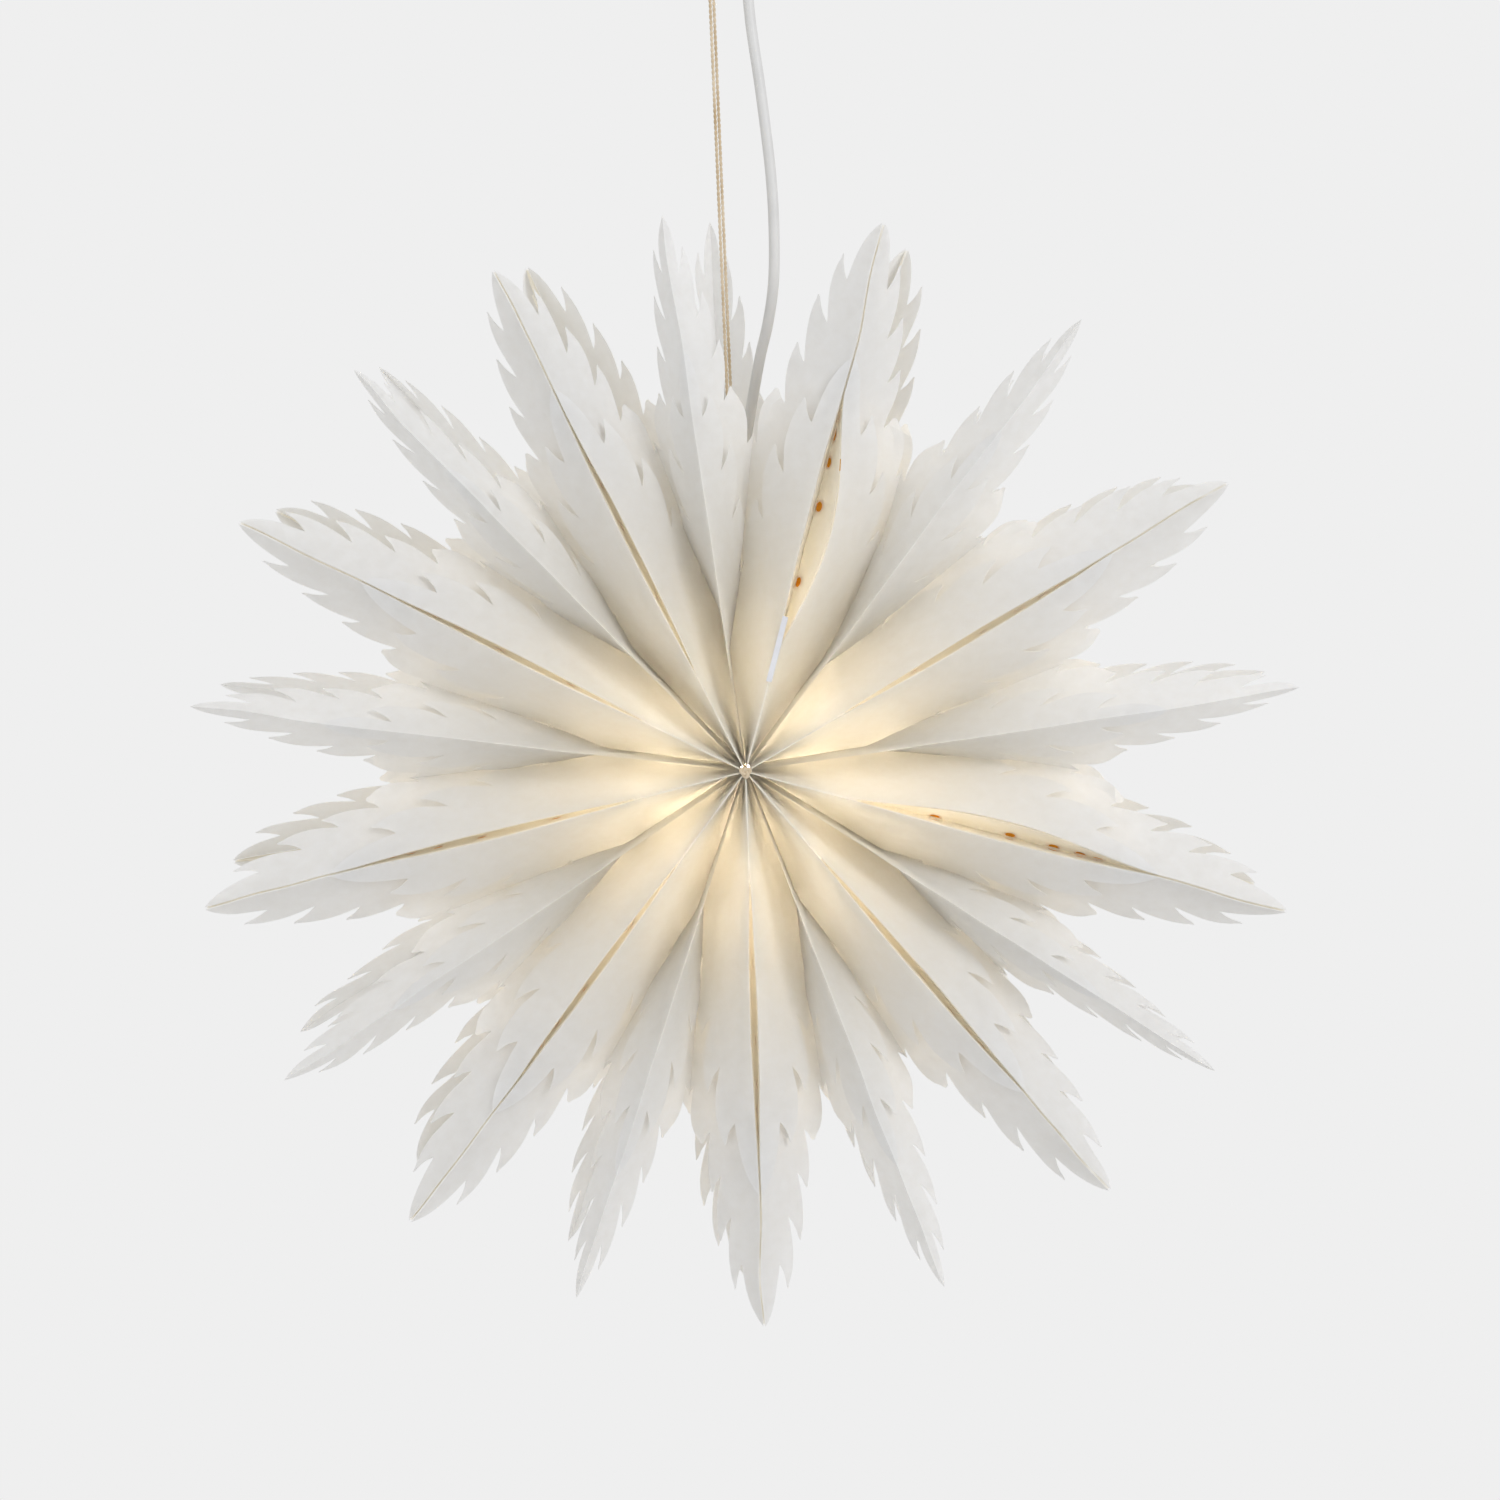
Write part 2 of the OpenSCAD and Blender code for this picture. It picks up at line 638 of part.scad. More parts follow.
module mains_cable() {
    color([0.93, 0.93, 0.92])
        tube(smooth_route(cable_points, 4), cable_d, 10, [0, 1, 0]);
}

// Lampholder, from the cable down
module holder_relief() {
    color([0.93, 0.93, 0.92])
        translate([0, 0, star_z + relief_z])
        cylinder(h = relief_l, d1 = cable_d * 2, d2 = cable_d + 1.6);
}
module holder_cap() {
    shoulder = 6;
    color([0.93, 0.93, 0.92])
        translate([0, 0, star_z + cap_z])
        rotate_extrude()
        difference() {
            union() {
                square([holder_d / 2, cap_h - shoulder]);
                translate([0, cap_h - shoulder]) square([holder_d / 2 - shoulder, shoulder]);
                translate([holder_d / 2 - shoulder, cap_h - shoulder])
                    intersection() {
                        circle(r = shoulder);
                        square(shoulder);
                    }
            }
            square([holder_d / 2 - 2.5, cap_h - 4]);
        }
}
module holder_skirt() {
    wall = 2.5;
    color([0.93, 0.93, 0.92])
        translate([0, 0, star_z + skirt_z])
        rotate_extrude()
        difference() {
            square([holder_d / 2 - 0.5, skirt_h]);
            square([holder_d / 2 - 0.5 - wall, skirt_h]);
        }
}
module holder_ring() {
    flange = 2;
    color([0.93, 0.93, 0.92])
        translate([0, 0, star_z + skirt_z + 8])
        rotate_extrude()
        difference() {
            union() {
                square([holder_d / 2 + 2.5, ring_h]);
                square([ring_d / 2, flange]);
            }
            square([holder_d / 2 - 0.5 + thread_play, ring_h]);
        }
}
module holder_shell() {
    color([0.80, 0.66, 0.36])
        translate([0, 0, star_z + screw_z + 2])
        rotate_extrude()
        translate([shell_bore_d / 2, 0])
        square([(shell_d - shell_bore_d) / 2, core_z - screw_z - 2]);
}
module holder_core() {
    core_h = cap_z - core_z;
    core_d = holder_d - 1 - 5;
    color([0.93, 0.93, 0.92])
        translate([0, 0, star_z + core_z]) {
            cylinder(h = core_h, d = core_d);
            translate([0, 0, -0.8]) cylinder(h = 0.9, d = 5);
        }
}

// Bulb
module bulb_globe() {
    globe_r = globe_d / 2;
    neck_r = sqrt(globe_r * globe_r - neck_h * neck_h);
    color([0.97, 0.96, 0.93])
        translate([0, 0, star_z])
        rotate_extrude()
        union() {
            intersection() {
                circle(r = globe_r);
                translate([0, -globe_r]) square([globe_r, globe_r + neck_h]);
            }
            square([neck_r, neck_h]);
        }
}
module bulb_collar() {
    neck_r = sqrt(globe_d * globe_d / 4 - neck_h * neck_h);
    color([0.95, 0.95, 0.94])
        translate([0, 0, star_z + collar_z])
        rotate_extrude()
        polygon([
            [0, 0], [collar_d / 2, 0], [collar_d / 2, collar_h * 0.6],
            [screw_d / 2 + 1, collar_h], [0, collar_h]
        ]);
}
module bulb_screw() {
    ridge = 0.5;
    turns_n = 6;
    pitch = screw_h / (turns_n + 0.5);
    color([0.82, 0.82, 0.80])
        translate([0, 0, star_z + screw_z])
        rotate_extrude() {
            square([screw_d / 2 - ridge, screw_h]);
            for (i = [0 : turns_n - 1]) {
                translate([screw_d / 2 - ridge, (i + 0.75) * pitch]) circle(r = ridge, $fn = 16);
            }
        }
}
module bulb_contact() {
    color([0.25, 0.25, 0.27])
        translate([0, 0, star_z + screw_z + screw_h]) {
            cylinder(h = contact_h * 0.6, d1 = screw_d - 2.4, d2 = 6);
            translate([0, 0, contact_h * 0.6]) cylinder(h = contact_h * 0.4, d = 4);
        }
}

// Ceiling fitting
module plate_outline(play) {
    intersection() {
        square([plate_l + 2 * play, plate_w + 2 * play], center = true);
        circle(d = plate_l + 2 * play);
    }
}
module ceiling_plate() {
    color([0.75, 0.76, 0.78])
        difference() {
            union() {
                translate([0, 0, -plate_t])
                    linear_extrude(plate_t)
                    plate_outline(0);
                translate([0, 0, -plate_t - boss_h]) cylinder(h = boss_h + 0.5, d = hook_wire_d + 7);
            }
            translate([0, 0, -plate_t - boss_h - 1])
                cylinder(h = hook_top + plate_t + boss_h + 1, d = hook_wire_d + 2 * hook_play);
            for (s = [-1, 1]) {
                translate([s * plate_hole_span / 2, 0, -plate_t - 1]) cylinder(h = plate_t + 2, d = plate_hole_d);
            }
        }
}
module ceiling_rose() {
    round_r = 8;
    color([0.95, 0.95, 0.94])
        difference() {
            translate([0, 0, rose_z])
                rotate_extrude($fn = 96)
                difference() {
                    union() {
                        square([rose_d / 2 - round_r, rose_h]);
                        translate([0, round_r]) square([rose_d / 2, rose_h - round_r]);
                        translate([rose_d / 2 - round_r, round_r]) circle(r = round_r);
                    }
                    translate([0, rose_wall]) square([rose_d / 2 - round_r, rose_h]);
                    translate([0, round_r]) square([rose_d / 2 - rose_wall, rose_h]);
                    translate([rose_d / 2 - round_r, round_r]) circle(r = round_r - rose_wall);
                    translate([-rose_d, -1]) square([rose_d, rose_h + 2]);
                }
            translate([0, 0, rose_z - 1]) cylinder(h = rose_wall + 2, d = hook_wire_d + 0.4);
            translate([outlet_x, 0, rose_z - 1]) cylinder(h = rose_wall + 2, d = grip_thread_d + 0.4);
            translate([0, 0, -plate_t - plate_play])
                linear_extrude(plate_t + plate_play + 1)
                plate_outline(plate_play);
        }
}
module ceiling_hook() {
    eye_open = 80;
    stem_z = saddle_z + 2 * hook_eye_r;
    color([0.93, 0.93, 0.92]) {
        translate([0, 0, stem_z]) cylinder(h = hook_top - stem_z, d = hook_wire_d);
        translate([0, 0, saddle_z + hook_eye_r])
            rotate([90, 0, 0])
            rotate([0, 0, 90 + eye_open]) {
                rotate_extrude(angle = 360 - eye_open)
                    translate([hook_eye_r, 0])
                    circle(d = hook_wire_d, $fn = 32);
                translate([hook_eye_r, 0, 0]) sphere(d = hook_wire_d, $fn = 32);
            }
    }
}
module hook_collar() {
    color([0.93, 0.93, 0.92])
        translate([0, 0, rose_z - collar_nut_h])
        difference() {
            cylinder(h = collar_nut_h, d = hook_wire_d + 8);
            translate([0, 0, -1]) cylinder(h = collar_nut_h + 2, d = hook_wire_d);
        }
}
module cord_grip() {
    color([0.93, 0.93, 0.92])
        translate([outlet_x, 0, 0]) {
            translate([0, 0, grip_end_z]) cylinder(h = grip_nose_l, d1 = cable_d + 1.6, d2 = cable_d * 2);
            translate([0, 0, rose_z - grip_flange_t]) cylinder(h = grip_flange_t, d = grip_flange_d);
            translate([0, 0, rose_z]) cylinder(h = grip_thread_l, d = grip_thread_d);
        }
}
module grip_nut() {
    nut_h = 4;
    color([0.93, 0.93, 0.92])
        translate([outlet_x, 0, rose_z + rose_wall])
        difference() {
            cylinder(h = nut_h, d = grip_thread_d + 6, $fn = 6);
            translate([0, 0, -1]) cylinder(h = nut_h + 2, d = grip_thread_d + 0.2);
        }
}
terminal_l = 16;
terminal_w = 14;
terminal_h = 13;
core_wire_d = 2.2;
core_wire_x = 3.2;
terminal_z = -plate_t - terminal_h;
module terminal_block() {
    color([0.96, 0.96, 0.94])
        difference() {
            translate([outlet_x - terminal_l / 2, -terminal_w / 2, terminal_z])
                cube([terminal_l, terminal_w, terminal_h]);
            for (s = [-1, 1]) {
                translate([outlet_x + s * core_wire_x, 0, terminal_z - 1]) cylinder(h = 9, d = core_wire_d + 0.6);
                translate([outlet_x + s * core_wire_x, -terminal_w / 2 - 1, terminal_z + 5])
                    rotate([-90, 0, 0])
                    cylinder(h = 5, d = 4);
            }
        }
}
module core_wires() {
    for (s = [-1, 1]) {
        color(s < 0 ? [0.36, 0.22, 0.14] : [0.16, 0.30, 0.62])
            translate([outlet_x + s * core_wire_x, 0, rose_z + grip_thread_l])
            cylinder(h = terminal_z - rose_z - grip_thread_l + 6, d = core_wire_d);
    }
}

side_panels(1);  // side_panels_1
side_panels(2);  // side_panels_2
side_panels(3);  // side_panels_3
side_panels(4);  // side_panels_4
side_panels(5);  // side_panels_5
side_panels(6);  // side_panels_6
side_panels(7);  // side_panels_7
side_panels(8);  // side_panels_8
side_panels(9);  // side_panels_9
front_leaves(1);  // front_leaves_1
front_leaves(2);  // front_leaves_2
front_leaves(3);  // front_leaves_3
front_leaves(4);  // front_leaves_4
front_leaves(5);  // front_leaves_5
front_leaves(6);  // front_leaves_6
front_leaves(7);  // front_leaves_7
front_leaves(8);  // front_leaves_8
front_leaves(9);  // front_leaves_9
back_leaves(1);  // back_leaves_1
back_leaves(2);  // back_leaves_2
back_leaves(3);  // back_leaves_3
back_leaves(4);  // back_leaves_4
back_leaves(5);  // back_leaves_5
back_leaves(6);  // back_leaves_6
back_leaves(7);  // back_leaves_7
back_leaves(8);  // back_leaves_8
back_leaves(9);  // back_leaves_9
short_leaves(1);  // short_leaves_1
short_leaves(2);  // short_leaves_2
short_leaves(3);  // short_leaves_3
short_leaves(4);  // short_leaves_4
short_leaves(5);  // short_leaves_5
short_leaves(6);  // short_leaves_6
short_leaves(7);  // short_leaves_7
short_leaves(8);  // short_leaves_8
short_leaves(9);  // short_leaves_9
seam_tape();
front_knot();
back_knot();
hanging_string();
mains_cable();
holder_relief();
holder_cap();
holder_skirt();
holder_ring();
holder_shell();
holder_core();
bulb_globe();
bulb_collar();
bulb_screw();
bulb_contact();
ceiling_plate();
ceiling_rose();
ceiling_hook();
hook_collar();
cord_grip();
grip_nut();
terminal_block();
core_wires();
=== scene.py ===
import math

import bmesh
import bpy
from mathutils import Matrix, Vector, geometry, noise


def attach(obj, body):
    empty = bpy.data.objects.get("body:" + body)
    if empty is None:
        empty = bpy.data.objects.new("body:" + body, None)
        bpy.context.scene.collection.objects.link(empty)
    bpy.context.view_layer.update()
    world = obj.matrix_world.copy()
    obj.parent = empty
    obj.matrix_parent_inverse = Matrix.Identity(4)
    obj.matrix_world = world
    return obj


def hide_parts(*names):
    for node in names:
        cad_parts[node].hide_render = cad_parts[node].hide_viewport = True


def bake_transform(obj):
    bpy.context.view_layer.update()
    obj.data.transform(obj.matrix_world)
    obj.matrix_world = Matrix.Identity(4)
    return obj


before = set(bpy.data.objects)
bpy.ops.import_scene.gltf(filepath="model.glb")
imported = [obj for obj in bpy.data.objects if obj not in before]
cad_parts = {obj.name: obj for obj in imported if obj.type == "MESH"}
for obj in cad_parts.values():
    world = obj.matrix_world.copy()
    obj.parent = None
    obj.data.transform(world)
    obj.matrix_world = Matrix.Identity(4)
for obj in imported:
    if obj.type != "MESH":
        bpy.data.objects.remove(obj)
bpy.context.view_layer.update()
mm = 0.001
starZ = -0.510  # middle of the star, below the ceiling plate


# small helpers
def linear(hexColour):
    parts = [int(hexColour[i:i + 2], 16) / 255 for i in (1, 3, 5)]
    return tuple(p / 12.92 if p <= 0.04045 else ((p + 0.055) / 1.055) ** 2.4 for p in parts) + (1.0,)


def addNode(tree, kind, settings=None, links=None):
    node = tree.nodes.new(kind)
    for name, value in (settings or {}).items():
        if isinstance(name, int) or name in node.inputs:
            node.inputs[name].default_value = value
        else:
            setattr(node, name, value)
    for name, socket in (links or {}).items():
        tree.links.new(socket, node.inputs[name])
    return node


def newMaterial(name):
    material = bpy.data.materials.new(name)
    material.use_nodes = True
    material.node_tree.nodes.clear()
    return material, material.node_tree


def colourRamp(tree, factor, stops):
    ramp = addNode(tree, "ShaderNodeValToRGB", links={"Fac": factor})
    while len(ramp.color_ramp.elements) < len(stops):
        ramp.color_ramp.elements.new(0.5)
    for element, (place, colour) in zip(ramp.color_ramp.elements, stops):
        element.position = place
        element.color = colour
    return ramp.outputs["Color"]


def deselectAll():
    for o in bpy.context.selected_objects:
        o.select_set(False)


def makeActive(o):
    deselectAll()
    o.select_set(True)
    bpy.context.view_layer.objects.active = o


def applyModifiers(o):
    makeActive(o)
    for m in list(o.modifiers):
        bpy.ops.object.modifier_apply(modifier=m.name)


def meshObject(name, verts, faces, material):
    mesh = bpy.data.meshes.new(name)
    mesh.from_pydata(verts, [], faces)
    mesh.update()
    o = bpy.data.objects.new(name, mesh)
    bpy.context.scene.collection.objects.link(o)
    mesh.materials.append(material)
    return o


def smoothSides(o):
    # four-sided faces are shaded round, the flat ends of a cord aren't
    for p in o.data.polygons:
        p.use_smooth = len(p.vertices) == 4


def smoothStep(low, high, x):
    t = min(1, max(0, (x - low) / (high - low)))
    return t * t * (3 - 2 * t)


# camera
camera = {
    "target": (0.0005, 0.0, -0.510),
    "distance": 2.60,
    "elevation": 4.2,        # degrees above the star's middle
    "fov": 18.1,
    "roll": 2.5,
    "photo": 1500,           # pixels across the photo
    "targetAt": (746, 761),  # the photo's pixel that shows the target
    "clip": (0.05, 60),
}


def addCamera():
    data = bpy.data.cameras.new("camera")
    o = bpy.data.objects.new("camera", data)
    bpy.context.scene.collection.objects.link(o)
    el = math.radians(camera["elevation"])
    target = Vector(camera["target"])
    back = Vector((0, -math.cos(el), math.sin(el)))
    o.location = target + back * camera["distance"]
    look = (-back).to_track_quat("-Z", "Y").to_matrix().to_4x4()
    turned = look @ Matrix.Rotation(math.radians(-camera["roll"]), 4, "Z")
    o.rotation_mode = "QUATERNION"
    o.rotation_quaternion = turned.to_quaternion()
    data.angle = math.radians(camera["fov"])
    data.shift_x = (camera["photo"] / 2 - camera["targetAt"][0]) / camera["photo"]
    data.shift_y = (camera["targetAt"][1] - camera["photo"] / 2) / camera["photo"]
    data.clip_start, data.clip_end = camera["clip"]
    bpy.context.scene.camera = o


addCamera()
print("camera stands")


# materials
def objectPlace(tree):
    return addNode(tree, "ShaderNodeTexCoord").outputs["Object"]


def finishMaterial(tree, shader):
    addNode(tree, "ShaderNodeOutputMaterial", links={"Surface": shader})


# radii from the star's axis, in metres, over which the painted warm glow fades to the paper's white and the
# paper lets less light through
paintedGlowRadii = {"From Min": 0.05, "From Max": 0.22}


def makePaper(name, white, middle, glow, thinness):
    # uncoated wood-free paper, about 150 g: dead matt, a cloudy look-through, faint fibre tooth;
    # towards the middle its colour is painted a shade creamier, as painted warm glow and warm shade, and it
    # lets more light through
    material, tree = newMaterial(name)
    place = objectPlace(tree)
    # clouds of 6 mm, and a tooth of 0.7 mm, because real fibres are too fine to show
    cloud = addNode(tree, "ShaderNodeTexNoise", {"Scale": 160.0, "Detail": 4.0, "Roughness": 0.6},
                    {"Vector": place})
    fibre = addNode(tree, "ShaderNodeTexNoise", {"Scale": 1400.0, "Detail": 3.0, "Roughness": 0.7},
                    {"Vector": place})
    tone = colourRamp(tree, cloud.outputs["Fac"], [(0.3, linear(white[0])), (0.7, linear(white[1]))])
    seen = colourRamp(tree, cloud.outputs["Fac"], [(0.3, linear(glow[0])), (0.7, linear(glow[1]))])
    tooth = addNode(tree, "ShaderNodeBump", {"Strength": 0.08, "Distance": 0.0002},
                    {"Height": fibre.outputs["Fac"]})
    flat = addNode(tree, "ShaderNodeVectorMath",
                   {"operation": "MULTIPLY_ADD", 1: (1, 0, 1), 2: (0, 0, -starZ)}, {0: place})
    away = addNode(tree, "ShaderNodeVectorMath", {"operation": "LENGTH"}, {0: flat.outputs[0]})
    outward = addNode(tree, "ShaderNodeMapRange", paintedGlowRadii, {"Value": away.outputs["Value"]})
    # painted warm glow and shade: towards the middle the paper's colour is mixed with the creamier tint
    paintedGlowTone = addNode(tree, "ShaderNodeMixRGB", {"Color1": linear(middle)},
                   {"Fac": outward.outputs[0], "Color2": tone})
    skin = addNode(tree, "ShaderNodeBsdfPrincipled",
                   {"Roughness": 0.85, "Specular IOR Level": 0.25, "IOR": 1.45},
                   {"Base Color": paintedGlowTone.outputs[0], "Normal": tooth.outputs["Normal"]})
    through = addNode(tree, "ShaderNodeBsdfTranslucent", links={"Color": seen})
    share = addNode(tree, "ShaderNodeMapRange", {"To Min": thinness[0], "To Max": thinness[1]},
                    {"Value": outward.outputs[0]})
    both = addNode(tree, "ShaderNodeMixShader",
                   links={0: share.outputs[0], 1: skin.outputs[0], 2: through.outputs[0]})
    finishMaterial(tree, both.outputs[0])
    return material


def makeHoleGlowSheet(name, colours):
    # amber sheet, thin and matt, half see-through, that paints the warm glow seen through the punched holes;
    # uneven in spots of 1.4 mm
    material, tree = newMaterial(name)
    place = objectPlace(tree)
    glowMottle = addNode(tree, "ShaderNodeTexNoise", {"Scale": 700.0, "Detail": 4.0, "Roughness": 0.7},
                  {"Vector": place})
    tone = colourRamp(tree, glowMottle.outputs["Fac"], [(0.35, linear(colours[0])), (0.65, linear(colours[1]))])
    skin = addNode(tree, "ShaderNodeBsdfPrincipled", {"Roughness": 0.8, "Specular IOR Level": 0.2},
                   {"Base Color": tone})
    through = addNode(tree, "ShaderNodeBsdfTranslucent", links={"Color": tone})
    both = addNode(tree, "ShaderNodeMixShader", {0: 0.5}, {1: skin.outputs[0], 2: through.outputs[0]})
    finishMaterial(tree, both.outputs[0])
    return material


def makePlastic(name, colours, roughness, grain, grainMm, bump):
    # moulded plastic: even colour, a faint spark-eroded grain and slow cloudiness from handling
    material, tree = newMaterial(name)
    place = objectPlace(tree)
    slow = addNode(tree, "ShaderNodeTexNoise", {"Scale": 40.0, "Detail": 3.0}, {"Vector": place})
    fine = addNode(tree, "ShaderNodeTexNoise", {"Scale": 1000.0 / grainMm, "Detail": 2.0}, {"Vector": place})
    tone = colourRamp(tree, slow.outputs["Fac"], [(0.35, linear(colours[0])), (0.65, linear(colours[1]))])
    gloss = addNode(tree, "ShaderNodeMapRange", {"To Min": roughness - grain, "To Max": roughness + grain},
                    {"Value": slow.outputs["Fac"]})
    skin = addNode(tree, "ShaderNodeBump", {"Strength": bump, "Distance": 0.0002},
                   {"Height": fine.outputs["Fac"]})
    shader = addNode(tree, "ShaderNodeBsdfPrincipled", {"IOR": 1.5},
                     {"Base Color": tone, "Roughness": gloss.outputs[0], "Normal": skin.outputs["Normal"]})
    finishMaterial(tree, shader.outputs[0])
    return material


def makeMetal(name, colours, roughness, streakMm, axis):
    # drawn or pressed metal: fine streaks along the way it was worked
    material, tree = newMaterial(name)
    place = objectPlace(tree)
    stretch = [1000.0 / streakMm] * 3
    stretch[axis] /= 30  # a streak is thirty times as long as it is wide
    along = addNode(tree, "ShaderNodeMapping", {"Scale": stretch}, {"Vector": place})
    streak = addNode(tree, "ShaderNodeTexNoise", {"Scale": 1.0, "Detail": 3.0}, {"Vector": along.outputs[0]})
    tone = colourRamp(tree, streak.outputs["Fac"], [(0.3, linear(colours[0])), (0.7, linear(colours[1]))])
    gloss = addNode(tree, "ShaderNodeMapRange", {"To Min": roughness - 0.08, "To Max": roughness + 0.1},
                    {"Value": streak.outputs["Fac"]})
    skin = addNode(tree, "ShaderNodeBump", {"Strength": 0.06, "Distance": 0.0001},
                   {"Height": streak.outputs["Fac"]})
    shader = addNode(tree, "ShaderNodeBsdfPrincipled", {"Metallic": 1.0},
                     {"Base Color": tone, "Roughness": gloss.outputs[0], "Normal": skin.outputs["Normal"]})
    finishMaterial(tree, shader.outputs[0])
    return material


lamp = {
    "strength": 88.0,                  # how brightly the globe glows
    "warm": ("#FFF1DD", "#FFF6E9"),    # colour of the glow at the globe's foot and at its neck
    "from": -0.022, "to": 0.018,       # metres from the star's middle between which it changes
}


def makeOpal(name):
    # opal polycarbonate over a lit lamp: warm light, a little paler towards the neck
    material, tree = newMaterial(name)
    place = objectPlace(tree)
    height = addNode(tree, "ShaderNodeSeparateXYZ", links={"Vector": place})
    level = addNode(tree, "ShaderNodeMapRange",
                    {"From Min": starZ + lamp["from"], "From Max": starZ + lamp["to"]},
                    {"Value": height.outputs["Z"]})
    cloud = addNode(tree, "ShaderNodeTexNoise", {"Scale": 90.0, "Detail": 2.0}, {"Vector": place})
    tone = colourRamp(tree, cloud.outputs["Fac"], [(0.3, linear("#F4EFE4")), (0.7, linear("#FAF6EC"))])
    atFoot, atNeck = lamp["warm"]
    warm = colourRamp(tree, level.outputs[0], [(0.0, linear(atFoot)), (1.0, linear(atNeck))])
    shader = addNode(tree, "ShaderNodeBsdfPrincipled",
                     {"Roughness": 0.35, "IOR": 1.58, "Emission Strength": lamp["strength"]},
                     {"Base Color": tone, "Emission Color": warm})
    finishMaterial(tree, shader.outputs[0])
    return material


def makeCotton(name, colours, yarnMm):
    # two-ply cotton twine: soft twisted yarns, hairy and matt
    material, tree = newMaterial(name)
    place = objectPlace(tree)
    yarn = addNode(tree, "ShaderNodeTexNoise", {"Scale": 1000.0 / yarnMm, "Detail": 4.0, "Roughness": 0.7},
                   {"Vector": place})
    slow = addNode(tree, "ShaderNodeTexNoise", {"Scale": 60.0, "Detail": 2.0}, {"Vector": place})
    mixed = addNode(tree, "ShaderNodeMath", {"operation": "MULTIPLY_ADD", 1: 0.5},
                    {0: yarn.outputs["Fac"], 2: slow.outputs["Fac"]})
    tone = colourRamp(tree, mixed.outputs[0], [(0.5, linear(colours[0])), (1.0, linear(colours[1]))])
    skin = addNode(tree, "ShaderNodeBump", {"Strength": 0.5, "Distance": 0.0003},
                   {"Height": yarn.outputs["Fac"]})
    shader = addNode(tree, "ShaderNodeBsdfPrincipled",
                     {"Roughness": 0.95, "Specular IOR Level": 0.2, "Sheen Weight": 0.3,
                      "Sheen Roughness": 0.5},
                     {"Base Color": tone, "Normal": skin.outputs["Normal"]})
    finishMaterial(tree, shader.outputs[0])
    return material


def makeCores(name, colours, split):
    # PVC core insulation, smooth and a little glossy, one brown and one blue, parted at x = split
    material, tree = newMaterial(name)
    place = objectPlace(tree)
    side = addNode(tree, "ShaderNodeSeparateXYZ", links={"Vector": place})
    which = addNode(tree, "ShaderNodeMath", {"operation": "GREATER_THAN", 1: split}, {0: side.outputs["X"]})
    fine = addNode(tree, "ShaderNodeTexNoise", {"Scale": 900.0, "Detail": 2.0}, {"Vector": place})
    tone = colourRamp(tree, which.outputs[0], [(0.0, linear(colours[0])), (1.0, linear(colours[1]))])
    skin = addNode(tree, "ShaderNodeBump", {"Strength": 0.08, "Distance": 0.0001},
                   {"Height": fine.outputs["Fac"]})
    shader = addNode(tree, "ShaderNodeBsdfPrincipled", {"Roughness": 0.4, "IOR": 1.53},
                     {"Base Color": tone, "Normal": skin.outputs["Normal"]})
    finishMaterial(tree, shader.outputs[0])
    return material


# paper: its white, its painted warm glow tint in the middle, what shines through, and how much of it, inside
# and outside
leafPaper = makePaper("leafPaper", ("#F6F7F9", "#FAFBFD"), "#FDFAF4", ("#FAF8F3", "#FFFEFB"), (0.7, 0.43))
panelPaper = makePaper("panelPaper", ("#F8F6F0", "#FCFBF7"), "#FDFAF4", ("#FCF7EA", "#FFFBF2"), (0.7, 0.52))
# painted warm glow seen through the punched holes
holeGlowPaint = makeHoleGlowSheet("holeGlowPaint", ("#E8B040", "#F3CC5E"))
# plastics: colours, roughness, how far it varies, grain in mm and its height
seamTape = makePlastic("seamTapeAcetate", ("#E6E7EC", "#EFF0F4"), 0.45, 0.05, 0.8, 0.03)
cottonTwine = makeCotton("cottonTwine", ("#CDB48E", "#F0E1C8"), 0.5)
cablePvc = makePlastic("cablePvc", ("#DDDDDC", "#E5E5E4"), 0.42, 0.05, 0.9, 0.04)
mouldedWhite = makePlastic("mouldedWhiteAbs", ("#EAE9E5", "#F1F0ED"), 0.32, 0.05, 0.6, 0.05)
darkPhenolic = makePlastic("darkPhenolic", ("#33302D", "#413D39"), 0.38, 0.05, 0.5, 0.08)
naturalNylon = makePlastic("naturalNylon", ("#E6E2D6", "#F0EDE3"), 0.45, 0.06, 0.7, 0.05)
coatedSteel = makePlastic("powderCoatedSteel", ("#E8E8E6", "#F2F2F0"), 0.4, 0.06, 0.4, 0.15)
# metals: colours, roughness, streak width in mm and the axis it runs along
sheetBrass = makeMetal("pressedBrass", ("#B8924A", "#D6B368"), 0.28, 0.4, 2)
screwAluminium = makeMetal("spunAluminium", ("#BFC0C0", "#D9DADA"), 0.3, 0.3, 2)
zincSteel = makeMetal("zincPlatedSteel", ("#9FA3A6", "#C2C5C7"), 0.36, 0.5, 0)
opalGlobe = makeOpal("opalPolycarbonate")
coreInsulation = makeCores("coreInsulationPvc", ("#5B3A26", "#2F5FA8"), 0.019)

cadFinish = {
    "holder_relief": cablePvc, "holder_cap": mouldedWhite, "holder_skirt": mouldedWhite,
    "holder_ring": mouldedWhite, "holder_shell": sheetBrass, "holder_core": darkPhenolic,
    "bulb_globe": opalGlobe, "bulb_collar": mouldedWhite, "bulb_screw": screwAluminium,
    "bulb_contact": darkPhenolic, "ceiling_plate": zincSteel, "ceiling_rose": mouldedWhite,
    "ceiling_hook": coatedSteel, "hook_collar": mouldedWhite, "cord_grip": naturalNylon,
    "grip_nut": naturalNylon, "terminal_block": naturalNylon, "core_wires": coreInsulation,
    "seam_tape": seamTape,
}
for nodeName, material in cadFinish.items():
    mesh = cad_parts[nodeName].data
    mesh.materials.clear()
    mesh.materials.append(material)
print("materials made")

